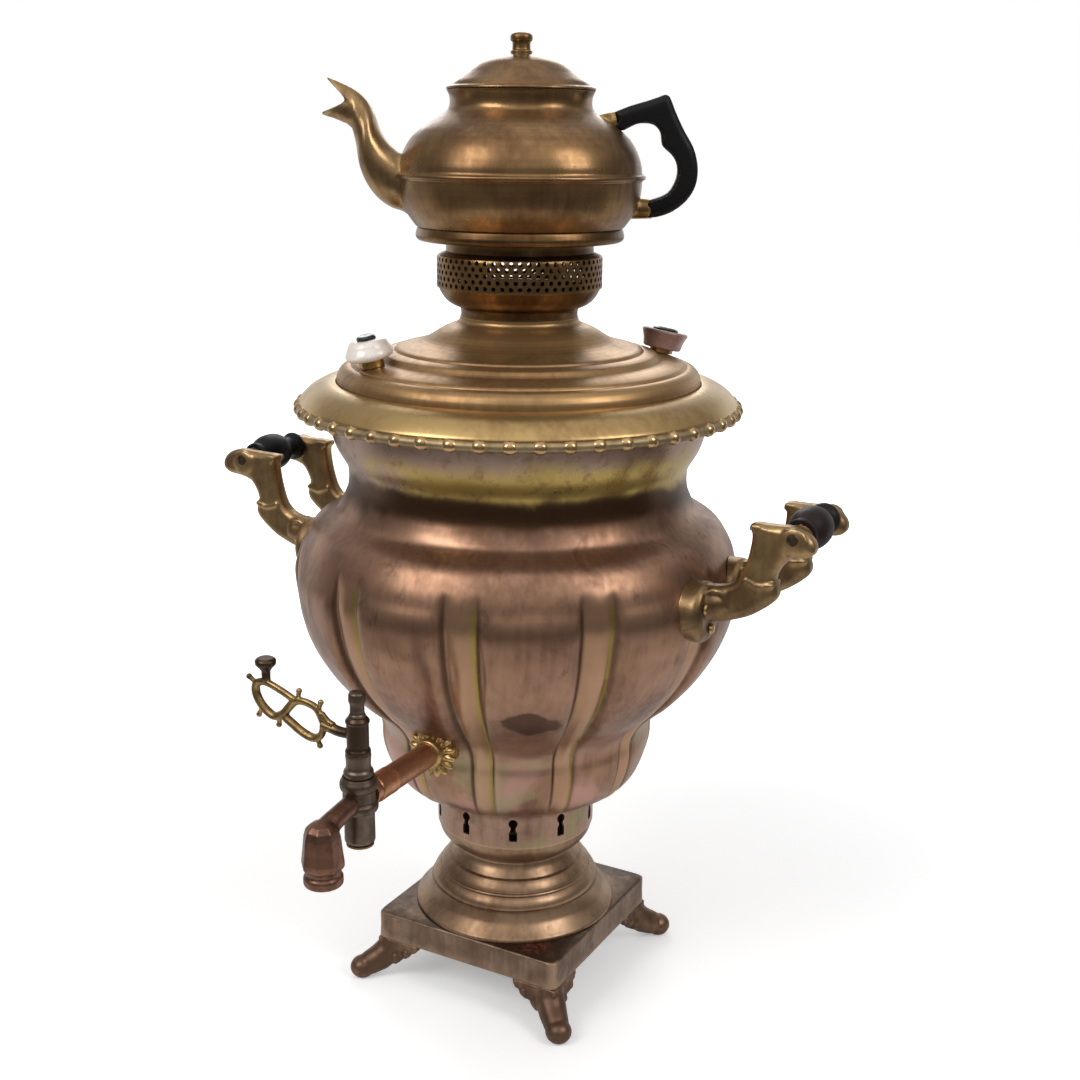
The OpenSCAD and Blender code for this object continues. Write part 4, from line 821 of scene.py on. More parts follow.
def wire_dirt_and_painted_shade(tree, aged):
    """Dark brown on the wire, where it shows in the gaps between the beads: painted shade, with dirt."""
    bead = put(tree, "Attribute", attribute_name="bead").outputs["Fac"]
    # Painted shade with dirt: the wire goes dark brown, and the beads keep their brass.
    return (blend_of(tree, band_of(tree, bead, 0.55, 0.9), tint("#2e1f14"), aged.outputs["Color"]),
            plus(tree, aged.outputs["Roughness"], band_of(tree, bead, 0.9, 0.55, 0.0, 0.3)))


bead_brass = old_metal("rubbed bead brass", "#b8925e", "#80603c", "#2b1c12", "#dfc294", patches=60.0,
                       brownness=0.5, specks=0.3, smooth=0.25, edges=0.6, hollows=0.9, bump=0.15,
                       over=wire_dirt_and_painted_shade)
string, given, add, end = tree_of("string of beads", [
    ("Beads", "Int", 52), ("Ring", "Float", 0.134), ("Bead", "Float", 0.004), ("Length", "Float", 1.2),
    ("Wire", "Float", 0.0029), ("Height", "Float", 0.383)], bead_brass)


def marked(shape, value):
    """The shape with its bead attribute set: 0 on the wire, 1 on a bead."""
    sockets = {"Geometry": shape, "Name": "bead", "Value": value}
    stored = add("GeometryNodeStoreNamedAttribute", sockets, data_type="FLOAT", domain="POINT")
    return stored.outputs["Geometry"]


circle = add("GeometryNodeCurvePrimitiveCircle",
             {"Resolution": 208, "Radius": given["Ring"]}).outputs["Curve"]
wire_form = add("GeometryNodeCurvePrimitiveCircle",
                {"Resolution": 10, "Radius": given["Wire"]}).outputs["Curve"]
wire = add("GeometryNodeCurveToMesh", {"Curve": circle, "Profile Curve": wire_form}).outputs["Mesh"]
spots = add("GeometryNodeCurveToPoints", {"Curve": circle, "Count": given["Beads"]}, mode="COUNT").outputs
ball = add("GeometryNodeMeshUVSphere",
           {"Segments": 18, "Rings": 12, "Radius": given["Bead"]}).outputs["Mesh"]
long_way = add("ShaderNodeCombineXYZ", {"X": 1.0, "Y": 1.0, "Z": given["Length"]}).outputs["Vector"]
row_of_beads = add("GeometryNodeInstanceOnPoints", {
    "Points": spots["Points"], "Instance": marked(ball, 1.0), "Rotation": spots["Rotation"],
    "Scale": long_way})
joined = add("GeometryNodeJoinGeometry")
string.links.new(row_of_beads.outputs["Instances"], joined.inputs["Geometry"])
string.links.new(marked(wire, 0.0), joined.inputs["Geometry"])
lifted = add("ShaderNodeCombineXYZ", {"Z": given["Height"]}).outputs["Vector"]
end(add("GeometryNodeTransform",
        {"Geometry": joined.outputs["Geometry"], "Translation": lifted}).outputs["Geometry"])
bead_low, bead_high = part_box("rim_beads")
beads = set_out("rim_bead_string", bpy.data.meshes.new("rim_bead_string_seed"))
worked_on(beads, string, {"Height": (bead_low.z + bead_high.z) / 2}).shade_smooth()
finished(beads, bead_brass, "samovar", "rim_brass", "rim_beads")


# Lid: spun brass in broad steps with turned grooves, dropped into the rim's seam. It is duller and browner
# than the rim, with the rings of the lathe still in it.
def lathe_rings(tree, aged):
    """The fine rings that the spinning tool left, and a browner skin in their hollows."""
    where = place_on(tree)
    parts = parts_of(tree, where)
    flat = put(tree, "CombineXYZ", {"X": parts["X"], "Y": parts["Y"]}).outputs["Vector"]
    reach = put(tree, "VectorMath", {0: flat}, operation="LENGTH").outputs["Value"]
    along = put(tree, "CombineXYZ", {"X": reach, "Y": parts["Z"]}).outputs["Vector"]
    rings = noise_of(tree, along, 420.0, 2.0, 0.6)
    colour = blend_of(tree, band_of(tree, rings, 0.35, 0.7, 0.0, 0.25), aged.outputs["Color"],
                      tint("#654b33"))
    return colour, plus(tree, aged.outputs["Roughness"], times(tree, rings, 0.05))


lid_r, lid_top, lid_edge = 111.5, 38.6, -3.2
lid_skin = softened(raised([
    (36, lid_top), (36, lid_top), (36.2, 36.6), (38, 34.7), (43.6, 32.5), (49.2, 29.6), (53.8, 26.6),
    (59, 24.0), (68.6, 21.2), (75, 19.5), (76.2, 18.2), (77, 18.3), (79, 18.2), (83.6, 16.9), (85, 15.8),
    (86, 14.8), (86, 14.8), (88, 13.6), (94, 12.6), (100.6, 10.8), (102, 9.8), (102.4, 9.2), (102.4, 9.2),
    (104.6, 9.2), (107.4, 8.2), (109.6, 6.2), (lid_r - 0.5, 3.6), (lid_r, 1.2), (lid_r, 1.2),
    (lid_r, lid_edge), (lid_r, lid_edge)], lid_seam), 4)
lid_inside = [(r - 1.2, z - 1.6) for r, z in reversed(lid_skin[2:-2])]
lid_metal = old_metal("spun lid brass", "#b08c5f", "#836343", "#3b2a19", "#ceaf80", patches=18.0,
                      brownness=0.42, specks=0.2, smooth=0.38, edges=0.45, hollows=0.7, bump=0.08,
                      over=lathe_rings)
lid_outline = lid_skin + [(lid_r - 3, lid_seam + lid_edge)] + lid_inside + [(34.4, lid_seam + lid_top)]
lid = turned_piece("lid_spun", lid_outline, 200)
finished(lid, lid_metal, "lid", "lid_brass", "lid_cover")


# Two lid knobs: a cream glazed porcelain one with a black button over one steam port, and a brown glazed
# one, wider at its top, over the other. Each sits on a brass ferrule and leans outwards with the lid.
def glaze(name, colour, second, dirt, size=70.0, shine=0.22, coat=0.5):
    """Old glazed porcelain: faint clouds, fine dark crazing, and dirt in its hollows."""
    made, tree, shader = new_finish(name)
    where = place_on(tree)
    cloud = noise_of(tree, where, size, 4.0, 0.6, 0.4)
    craze = put(tree, "TexVoronoi", {"Vector": where, "Scale": 420.0},
                feature="DISTANCE_TO_EDGE").outputs["Distance"]
    base = blend_of(tree, band_of(tree, cloud, 0.35, 0.68), tint(colour), tint(second))
    base = blend_of(tree, times(tree, band_of(tree, craze, 0.05, 0.0), 0.22), base, tint(dirt))
    rough = band_of(tree, cloud, 0.3, 0.7, shine, shine + 0.14)
    worn_over(tree, shader, base, rough, Rubbed=tint(colour), Dirt=tint(dirt), Edges=0.2, Hollows=0.8)
    shader.inputs["Coat Weight"].default_value = coat
    shader.inputs["Specular IOR Level"].default_value = 0.5 if coat > 0.2 else 0.2
    shader.inputs["Coat Roughness"].default_value = 0.12
    grained(tree, shader, cloud, 0.12, 0.0004)
    return made


cream_turn, brown_turn = 234, 48
knob_reach, knob_seam, knob_lean = 94.5, 12.42, 12


def knob_seat(turn):
    """Where a knob stands, at its turn from +X: out on the lid, leaning away from the axis."""
    out = Matrix.Translation((knob_reach * mm, 0, (lid_seam + knob_seam) * mm))
    lean = Matrix.Rotation(math.radians(knob_lean), 4, "Y")
    return Matrix.Rotation(math.radians(turn), 4, "Z") @ out @ lean


cream_glaze = glaze("cream porcelain", "#f4ece4", "#e2d4c7", "#7a6350")
brown_glaze = glaze("brown porcelain", "#a5837a", "#87665c", "#33221c", 90.0, 0.28)
black_enamel = glaze("black enamel", "#2b2725", "#1a1715", "#0c0a09", 160.0, 0.3)
ferrule_brass = old_metal("ferrule brass", "#a98653", "#735734", "#33241a", "#cfae74", patches=90.0,
                          brownness=0.55, specks=0.4, smooth=0.33, edges=0.7, hollows=0.9, bump=0.25)
cream_line = softened([
    (1.8, 5), (1.8, 5), (10.4, 5), (12.8, 5.6), (14.2, 7.2), (14.4, 8.6), (13.6, 10.4), (12.4, 12.4),
    (11.5, 14.4), (10.2, 15.8), (8, 16.45), (8, 16.45), (1.8, 16.45), (1.8, 16.45)], 4)
cream = turned_piece("cream_knob_glazed", cream_line, 72, knob_seat(cream_turn))
finished(cream, cream_glaze, "lid", "cream_porcelain", "cream_knob")
brown_line = softened([
    (1.8, 2.8), (1.8, 2.8), (10.8, 2.8), (11.9, 3.4), (12.2, 5), (13, 8.6), (14.4, 12.2), (14.6, 13.2),
    (13.9, 14.2), (12.2, 14.25), (12.2, 14.25), (1.8, 14.25), (1.8, 14.25)], 4)
brown_piece = turned_piece("brown_knob_glazed", brown_line, 72, knob_seat(brown_turn))
finished(brown_piece, brown_glaze, "lid", "brown_porcelain", "brown_knob")
for name in ("lid_knob_stems", "pot_handle_sockets"):
    coated_with(node[name], ferrule_brass)
coated_with(node["lid_knob_buttons"], black_enamel)


# Crown: a spun bowl over the chimney, a drum pierced with five staggered rows of round holes that keep the
# draught alive under the teapot, and a dished seat soldered on top. Its brass is dark from smoke.
bowl_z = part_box("crown_bowl")[0].z / mm
bowl_skin = softened(raised([
    (35.4, 0), (35.4, 0), (35.5, 3), (36.1, 4.9), (38, 6), (41, 7.3), (44.2, 9.6), (46.5, 12.4),
    (48.1, 15.2), (49.2, 17.4), (49.2, 17.4)], bowl_z), 5)
bowl_inside = raised([(47.6, 17.4), (46, 14.6), (42.6, 11.2), (40, 8.6), (34, 7.6), (31, 7.6), (31, 0)],
                     bowl_z)
crown_brass = old_metal("smoked crown brass", "#8c6a42", "#5d4228", "#22160d", "#a98654", patches=26.0,
                        brownness=0.55, specks=0.25, smooth=0.3, edges=0.45, hollows=0.8, bump=0.12,
                        over=lathe_rings)
bowl = turned_piece("crown_bowl_spun", bowl_skin + bowl_inside, 144)
finished(bowl, crown_brass, "crown", "dark_brass", "crown_bowl")

drum_low, drum_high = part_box("crown_drum")
drum_z, drum_r, drum_tall = drum_low.z / mm, drum_high.x / mm, 18.0
drum_wall = 1.3
drum_skin = [
    (drum_r - drum_wall, 0), (drum_r, 0), (drum_r, 0.8), (drum_r, drum_tall - 0.6),
    (drum_r - 0.5, drum_tall + 0.6), (drum_r - 2.0, drum_tall + 1.5), (45.2, drum_tall + 2.4),
    (44.5, drum_tall + 3.2), (44.4, drum_tall + 8.8), (43.0, drum_tall + 8.8), (43.0, drum_tall + 1.4),
    (drum_r - drum_wall, drum_tall - 0.6)]
drum = turned_piece("crown_drum_pierced", raised(drum_skin, drum_z), 132)
piercing, given, add, end = tree_of("rows of punched holes", [
    ("Holes", "Int", 60), ("Rows", "Int", 5), ("Reach", "Float", 0.05), ("Hole", "Float", 0.00135),
    ("First", "Float", 0.457), ("Pitch", "Float", 0.0036)], crown_brass)
piercing.interface.new_socket(name="Sheet", in_out="INPUT", socket_type="NodeSocketGeometry")
piercing.interface.move(piercing.interface.items_tree["Sheet"], 0)


def step(kind, a, b=0.0):
    """One step of arithmetic in the piercing tree."""
    return add("ShaderNodeMath", {0: a, 1: b}, operation=kind).outputs[0]


number = add("GeometryNodeInputIndex").outputs["Index"]
row = step("FLOOR", step("DIVIDE", number, given["Holes"]))
half_step = step("MULTIPLY", step("MODULO", row, 2.0), 0.5)
turn = step("DIVIDE", step("MULTIPLY", step("ADD", number, half_step), math.tau), given["Holes"])
spot = add("ShaderNodeCombineXYZ", {
    "X": step("MULTIPLY", step("COSINE", turn), given["Reach"]),
    "Y": step("MULTIPLY", step("SINE", turn), given["Reach"]),
    "Z": step("ADD", given["First"], step("MULTIPLY", row, given["Pitch"]))}).outputs["Vector"]
line = add("GeometryNodeMeshLine",
           {"Count": step("MULTIPLY", given["Holes"], given["Rows"])}).outputs["Mesh"]
spread = add("GeometryNodeSetPosition", {"Geometry": line, "Position": spot}).outputs["Geometry"]
punch = add("GeometryNodeMeshCylinder",
            {"Vertices": 12, "Radius": given["Hole"], "Depth": 0.006}).outputs["Mesh"]
tip = add("ShaderNodeCombineXYZ", {"Y": math.pi / 2, "Z": turn}).outputs["Vector"]
punches = add("GeometryNodeInstanceOnPoints", {"Points": spread, "Instance": punch, "Rotation": tip})
punches = add("GeometryNodeRealizeInstances", {"Geometry": punches.outputs["Instances"]})
cut = add("GeometryNodeMeshBoolean", operation="DIFFERENCE", solver="EXACT")
sheet_in = next(s for s in piercing.nodes["Group Input"].outputs if s.name == "Sheet")
piercing.links.new(sheet_in, cut.inputs["Mesh 1"])
piercing.links.new(punches.outputs["Geometry"], cut.inputs["Mesh 2"])
end(cut.outputs["Mesh"])
pierced = worked_on(drum, piercing, {"Reach": (drum_r - 0.6) * mm, "First": (drum_z + 2.5) * mm})
pierced.set_sharp_from_angle(angle=math.radians(32))
finished(drum, crown_brass, "crown", "dark_brass", "crown_drum")

seat_low, seat_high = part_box("crown_seat")
seat_z, seat_r, seat_tall = seat_low.z / mm, seat_high.x / mm, (seat_high.z - seat_low.z) / mm
seat_skin = softened(raised([
    (42.6, 0), (42.6, 0), (56, 0), (60.4, 0.5), (62, 1.8), (seat_r, 3.6), (62.2, 5.4), (61.6, 7.4),
    (60.8, seat_tall), (60.8, seat_tall), (57.2, seat_tall), (57.2, seat_tall), (57.1, 1.8), (57.1, 1.8),
    (42.6, 1.8), (42.6, 1.8), (42.6, 0)], seat_z), 4)
seat = turned_piece("crown_seat_spun", seat_skin, 144)
finished(seat, crown_brass, "crown", "dark_brass", "crown_seat")


# Teapot: a squat pot of brown brass, spun in two halves and soldered at a raised seam. Smoke and tea have
# toned it darker than the rim, and it is bright only where a cloth reaches.
pot_z, pot_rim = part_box("pot_lower")[0].z / mm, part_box("pot_upper")[1].z / mm
pot_skin = softened(raised([
    (56, 0), (56, 0), (61.8, 0), (62.6, 0.7), (64.4, 3), (67.2, 7), (69.8, 12), (71.4, 17.4), (72.1, 22.6),
    (72.3, 27), (72.3, 27), (72.9, 27.6), (74.1, 28.4), (74.3, 29.4), (74, 30.4), (72.7, 31.1),
    (72.2, 31.8), (72.2, 31.8), (71.7, 35.8), (70.3, 40.6), (67.8, 46), (64.4, 51), (60, 55.2), (55, 58.6),
    (50.2, 61.6), (46, 64.4), (43.2, 66.8), (42.1, 68.8), (41.8, 71.6), (42.2, 74.6), (43, 76.6),
    (43.8, 77.9), (43.8, 77.9), (42.2, 77.9), (42.2, 77.9)], pot_z), 4)
pot_wall = 1.5
pot_inside = [(r - pot_wall, z) for r, z in raised([
    (43.2, 75), (43.3, 67), (50.2, 60.4), (60, 53.8), (67.4, 45), (71.8, 34), (72.3, 24), (70.4, 13.6),
    (66.4, 6), (61, 1.8), (57.5, 1.8)], pot_z)]
pot_brass = old_metal("toned teapot brass", "#98764f", "#6c4f34", "#2c1e13", "#c4a478", patches=24.0,
                      brownness=0.5, specks=0.3, smooth=0.28, edges=0.35, hollows=0.8, bump=0.12,
                      over=lathe_rings)
pot = turned_piece("pot_body_spun", pot_skin + pot_inside, 160)
finished(pot, pot_brass, "teapot", "pot_brass", "pot_lower", "pot_upper")

pot_lid_skin = softened(raised([
    (41.6, 0.3), (41.6, 0.3), (43.7, 0.3), (44, 0.9), (43.6, 1.6), (42.2, 2.3), (41, 2.6), (40.4, 3.3),
    (40.4, 3.3), (38.6, 5), (35, 7.4), (31.4, 9.9), (28, 12.6), (24, 15.4), (19, 17.4), (13, 19),
    (7.6, 20.1), (6, 20.4), (6, 20.4)], pot_rim), 4)
pot_lid_inside = raised([
    (0, 20.4), (0, 19), (6, 19), (18.4, 16), (27, 11.6), (36, 5.2), (38.6, 2.6), (38.6, -4.8), (40, -4.8),
    (40.3, 0.3)], pot_rim)
pot_lid = turned_piece("pot_lid_spun", pot_lid_skin + pot_lid_inside, 128)
finished(pot_lid, pot_brass, "teapot_lid", "pot_brass", "pot_lid_cover")
pot_knob_line = softened(raised([
    (0, -4.8), (0, -4.8), (3.3, -4.8), (3.3, -4.8), (3.3, -2), (3.3, -2), (1.5, -2), (1.5, -2), (1.5, 0),
    (1.5, 0), (6.4, 0.05), (6.4, 0.05), (6.4, 1.4), (5.6, 2), (5.3, 2.8), (5.3, 6.2), (5.8, 6.8),
    (6.4, 7.4), (6.4, 9.8), (5.6, 10.9), (4, 11.6), (1.6, 11.8), (0, 11.8), (0, 11.8)], pot_rim + 20.4), 3)
pot_knob = turned_piece("pot_lid_knob_turned", pot_knob_line, 64)
finished(pot_knob, ferrule_brass, "teapot_lid", "pot_brass", "pot_lid_knob")


# Spout: raised from sheet and bent into a swan's neck, soldered to the pot. Its mouth is cut into two beaks,
# one curling up and one reaching out.
pot_turn = 209.7
pot_way = Matrix.Rotation(math.radians(pot_turn), 4, "Z")
spout_upper = [
    (66, 537), (70.1, 532.5), (74.5, 534.9), (79.5, 539.8), (83.2, 546.5), (86.3, 555.1), (89.9, 561.7),
    (96.1, 567.4), (103.2, 570.6)]
spout_lower = [
    (64, 494.4), (69.9, 498.4), (76.6, 500.6), (84.4, 505.9), (90.9, 514.2), (95.2, 524.8), (97.4, 538.6),
    (100.4, 548.2), (106.4, 553.2)]
spout_sides, spout_count, mouth_from, mouth_length = 40, 40, 33, 6
beak_reach, cheek_back, cheek_pinch, upper_flare, lower_flare = 12.5, 2.2, 0.18, 2.2, 1.6


def spout_ring(upper, lower, inset, mouth):
    """One ring of the spout between its edges; mouth runs to 1, where it is drawn out above and below."""
    upper, lower = Vector((upper[0], 0, upper[1])), Vector((lower[0], 0, lower[1]))
    middle, reach = (upper + lower) / 2, (upper - lower) / 2
    size = reach.length - inset
    up = reach.normalized()
    ahead = Vector((up.z, 0, -up.x))
    ring = []
    for j in range(spout_sides):
        a = j * math.tau / spout_sides
        drawn = mouth * (abs(math.cos(a)) ** 1.6 * beak_reach - cheek_back)
        rise = mouth * (upper_flare if math.cos(a) > 0 else lower_flare) * abs(math.cos(a)) ** 2
        ring.append(middle + up * ((size + rise) * math.cos(a)) + ahead * drawn
                    + Vector((0, (size * 0.94 + 0.3) * math.sin(a) * (1 - cheek_pinch * mouth), 0)))
    return ring


def spout_line(points):
    """The edge as a smooth line with a point for each ring."""
    line = softened(points, 8)
    return [line[round(i * (len(line) - 1) / (spout_count - 1))] for i in range(spout_count)]


spout_wall = 1.1
spout_edges = list(enumerate(zip(spout_line(spout_upper), spout_line(spout_lower))))
outside, inside = ([spout_ring(upper, lower, inset, max(0.0, (i - mouth_from) / mouth_length))
                    for i, (upper, lower) in spout_edges] for inset in (0.0, spout_wall))
spout_rings = outside + inside[::-1]
spout_verts = [pot_way @ (v * mm) for ring in spout_rings for v in ring]
spout = merged_piece("pot_spout_bent", spout_verts, loop_faces(len(spout_rings), spout_sides), 40)
spout_brass = old_metal("rubbed spout brass", "#ab8b62", "#785d40", "#30231a", "#ceb184", patches=40.0,
                        brownness=0.5, specks=0.35, smooth=0.3, edges=0.6, hollows=0.6, bump=0.2)
finished(spout, spout_brass, "teapot", "pot_brass", "pot_spout")


# Teapot handle: ebonised hardwood, sawn to a bow with a thumb spur, filed round and rubbed to a satin black.
# Its two ends are held in brass sockets that are soldered to the pot.
handle_outer = [
    (54.5, 556.6), (63.6, 560.2), (73.6, 563.2), (81.9, 566), (84.6, 567.1), (87.2, 565.6), (90.5, 558.1),
    (96.5, 546.3), (101.9, 537.7), (104.8, 528.5), (105.2, 520.3), (103.5, 513.2), (98.7, 505.9),
    (90.4, 499.7), (81.4, 496.6), (74.6, 496.2)]
handle_inner = [
    (74.6, 506.2), (79.9, 507.4), (87.7, 510.8), (91.5, 516.3), (93.2, 522.4), (92.4, 528.4), (89.2, 533.2),
    (83.6, 538.1), (82.6, 545.1), (79.1, 549.4), (74, 550.6), (67.8, 550), (60.7, 546.4), (57, 546.2)]


def filed_blank(outline, low, high, strokes):
    """A flat blank with both its faces' edges filed round, by strokes of (width, depth)."""
    made = bmesh.new()
    slab_in(made, outline, low, high)
    bmesh.ops.recalc_face_normals(made, faces=made.faces)
    for width, rise in strokes:
        for cap in [f for f in made.faces if len(f.verts) == len(outline)]:
            bmesh.ops.inset_region(made, faces=[cap], thickness=width * mm, depth=rise * mm,
                                   use_even_offset=True)
    return made


handle_half = 3.0
handle_line = [point for edge in (handle_outer, handle_inner)
               for point in softened([(-u, z) for u, z in edge], 2)]
handle_form = filed_blank(handle_line, -handle_half, handle_half, ((1.1, 1.3), (1.3, 1.0), (1.4, 0.5)))
pot_handle = cast_piece("pot_handle_filed", handle_form, 0.0008, 8)
pot_handle.data.transform(pot_way)
ebony = glaze("satin black wood", "#141212", "#0e0c0c", "#070606", 60.0, 0.42, 0.03)
finished(pot_handle, ebony, "teapot", "black_wood", "pot_handle")


# Tap: a cast bronze cock on a brazed pipe. The pipe screws through a petalled rosette into the urn, with a
# nut inside; a copper sleeve patches it. All but the key is dark, because a wet tap is never polished.
tap_height, barrel_at = 188.0, 175.0
nozzle_at = barrel_at + 34
lying = Matrix.Rotation(math.radians(90), 4, "X")
along = Matrix.Translation((0, 0, tap_height * mm)) @ lying
upright = Matrix.Translation((0, -barrel_at * mm, 0))
tap_bronze = old_metal("dark tap bronze", "#7c6c5f", "#54463b", "#241b15", "#96805f", patches=70.0,
                       brownness=0.55, specks=0.6, smooth=0.4, edges=0.6, hollows=0.9, bump=0.5,
                       depth=0.0005)
nozzle_bronze = old_metal("red-brown nozzle bronze", "#8a6450", "#563f32", "#261b15", "#a37f63",
                          patches=70.0, brownness=0.5, specks=0.5, smooth=0.36, edges=0.5, hollows=0.9,
                          bump=0.4, depth=0.0005)
pipe_copper = old_metal("brown pipe", "#b57e5f", "#81573f", "#3b281d", "#cc9776", patches=60.0,
                        brownness=0.5, specks=0.5, smooth=0.34, edges=0.5, hollows=0.8, bump=0.3)
sleeve_copper = old_metal("bright copper sleeve", "#d09670", "#96684b", "#4f2e1e", "#deab86", patches=50.0,
                          brownness=0.45, specks=0.1, smooth=0.3, edges=0.4, hollows=0.5, bump=0.08)
rosette_brass = old_metal("rosette brass", "#c4a26a", "#8c6b3f", "#35261a", "#dcc08a", patches=90.0,
                          brownness=0.45, specks=0.5, smooth=0.33, edges=0.8, hollows=1.0, bump=0.3)
pipe_to, pipe_from = (-end_point.y / mm for end_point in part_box("tap_pipe"))
pipe_r, pipe_bore = 7.6, 3.6
pipe_line = [
    (pipe_bore, pipe_from), (6.8, pipe_from), (pipe_r, pipe_from + 0.8), (pipe_r, 144.9), (6.6, 144.95),
    (6.6, 162.1), (pipe_r, 162.15), (pipe_r, pipe_to - 0.4), (7.2, pipe_to), (pipe_bore, pipe_to)]
pipe = turned_piece("tap_pipe_drawn", pipe_line, 64, along)
finished(pipe, pipe_copper, "samovar", "tap_bronze", "tap_pipe")
sleeve_line = softened([
    (6.7, 145.1), (6.7, 145.1), (7.8, 145.1), (7.8, 145.1), (8.0, 147), (7.95, 153), (8.05, 160.4),
    (7.7, 161.8), (7.7, 161.8), (6.7, 161.8), (6.7, 161.8)], 4)
sleeve = turned_piece("tap_sleeve_rolled", sleeve_line, 64, along)
finished(sleeve, sleeve_copper, "samovar", "copper_patch", "tap_sleeve")

barrel_line = softened([
    (6.1, 162.6), (6.1, 162.6), (7.6, 162.6), (8.5, 163.5), (8.6, 166), (8.5, 180), (8.7, 181), (10, 181.8),
    (10.6, 183), (10.6, 185.4), (9.9, 186.6), (9.3, 187.2), (9.2, 190), (9.3, 193.6), (10.1, 194.6),
    (10.6, 196), (10.6, 198.6), (9.8, 200.4), (9.1, 201.9), (9.1, 201.9), (6.1, 201.9), (6.1, 201.9),
    (6.1, 162.6)], 4)
barrel = turned_piece("tap_barrel_cast", barrel_line, 72, upright)
finished(barrel, tap_bronze, "samovar", "tap_bronze", "tap_barrel")

plug_line = softened([
    (1.6, 162), (1.6, 162), (5.95, 162), (5.95, 162), (5.95, 202.3), (5.95, 202.3), (8.1, 202.3),
    (8.1, 202.3), (8.4, 203.4), (8.2, 205.4), (7.2, 206.6), (6.9, 209), (7.0, 212), (7.2, 214.2),
    (7.1, 215.3), (7.1, 215.3), (2.6, 215.3), (2.6, 215.3), (2.6, 209.4), (1.6, 209.4), (1.6, 209.4),
    (1.6, 162)], 3)
plug = turned_piece("tap_plug_turned", plug_line, 64, upright)
finished(plug, tap_bronze, "plug", "tap_bronze", "tap_plug")
finial_line = softened([
    (0, 210.2), (0, 210.2), (2.4, 210.2), (2.4, 210.2), (2.4, 237.1), (2.4, 237.1), (4.7, 237.1),
    (4.7, 237.1), (4.7, 238), (4.15, 239), (4.05, 241), (4.1, 244.4), (4.5, 245.2), (4.75, 246.2),
    (4.75, 249.4), (4.3, 250.8), (2.6, 251.6), (0, 251.8), (0, 251.8)], 4)
finial = turned_piece("tap_finial_turned", finial_line, 64, upright)
finished(finial, tap_bronze, "plug", "tap_bronze", "tap_finial")

nozzle_form = bmesh.new()
limb_in(nozzle_form, [((0, -barrel_at - 7.9, 187.6), 5.7), ((0, -190, 186.6), 5.6), ((0, -200, 184.6), 6.0),
                      ((0, -207, 181.5), 7.2)], 24)
facet_turn = math.radians(22.5)
faceted_stations = [
    (188.4, 3.2), (187.2, 6.6), (184.4, 9.2), (180.6, 10.4), (172, 11.3), (166, 12.1), (163.4, 12.1),
    (161.8, 11.2), (160.6, 9.9)]
round_stations = [
    (161.5, 9.7), (158.6, 9.6), (157.6, 10.3), (156.8, 10.9), (153.2, 10.9), (152.2, 10.4), (151.9, 9.6)]


def nozzle_ring(z, r, sides):
    """One ring of the nozzle's downward end, at a height, as corners of its form."""
    angles = [facet_turn + j * math.tau / sides for j in range(sides)]
    return [nozzle_form.verts.new(
        Vector((r * mm * math.cos(a), -nozzle_at * mm + r * mm * math.sin(a), z * mm))) for a in angles]


for stations, sides in ((faceted_stations, 8), (round_stations, 40)):
    rings = [nozzle_ring(z, r, sides) for z, r in stations]
    for near, far in zip(rings, rings[1:]):
        for j in range(sides):
            nozzle_form.faces.new((near[j], near[(j + 1) % sides], far[(j + 1) % sides], far[j]))
    nozzle_form.faces.new(rings[0])
    nozzle_form.faces.new(rings[-1][::-1])
nozzle = cast_piece("tap_nozzle_cast", nozzle_form, 0.0005, 3)
down_the_nozzle = Matrix.Translation((0, -nozzle_at * mm, 0))
cut_from(nozzle,
         turned_piece("nozzle_drill", [(0, 148), (5.2, 148), (5.0, 178), (0, 181)], 32, down_the_nozzle))
finished(nozzle, nozzle_bronze, "samovar", "tap_bronze", "tap_nozzle")

petals, petal_ring, petal_at, petal_first = 16, 11.9, 100.6, 0.26
petal_size = Matrix.Diagonal((4.5 * mm, 2.2 * mm, 2.5 * mm, 1))
rosette_form = bmesh.new()
for k in range(petals):
    turn = k * math.tau / petals + petal_first
    spot = (petal_ring * mm * math.cos(turn), petal_ring * mm * math.sin(turn), petal_at * mm)
    place = along @ Matrix.Translation(spot) @ Matrix.Rotation(turn, 4, "Z") @ petal_size
    bmesh.ops.create_uvsphere(rosette_form, u_segments=16, v_segments=10, radius=1, matrix=place)
for near_r, far_r, near, far, sides in (
        (14.2, 14.2, 98.0, 99.8, 48), (9.8, 9.0, 99.0, 102.6, 48), (9.6, 9.2, 102.0, 106.6, 48),
        (9.2, 8.2, 106.6, 107.4, 48), (11.6, 11.6, 84, 99, 40)):
    limb_in(rosette_form, [((0, -near, tap_height), near_r), ((0, -far, tap_height), far_r)], sides)
rosette = cast_piece("tap_rosette_cast", rosette_form, 0.00055, 3)
cut_from(rosette, turned_piece("rosette_bore", [(0, 70), (7.65, 70), (7.65, 120), (0, 120)], 48, along))
urn_gauge = [(float(urn_radius(np.array(h), np.array(1.0))) + 0.1, h) for h in np.linspace(9, 99, 46)]
cut_from(rosette, turned_piece("urn_gauge", raised([(0.0, 0.0), *urn_gauge, (0.0, 99)], urn_low), 180))
finished(rosette, rosette_brass, "samovar", "rim_brass", "tap_rosette")


# Tap key: an openwork casting in yellow brass, two pierced leaves with thorns and a mushroom stud, filed by
# hand. It turns the plug, and stands across the tap when the tap is shut.
key_form = bmesh.new()
key_bar_r = 2.05


def key_limb(stations, sides, widened=1.0):
    """A limb of the key through stations of (distance from the spindle, height, radius)."""
    limb_in(key_form, [((-u, -barrel_at, z), radius) for u, z, radius in stations], sides, widened)


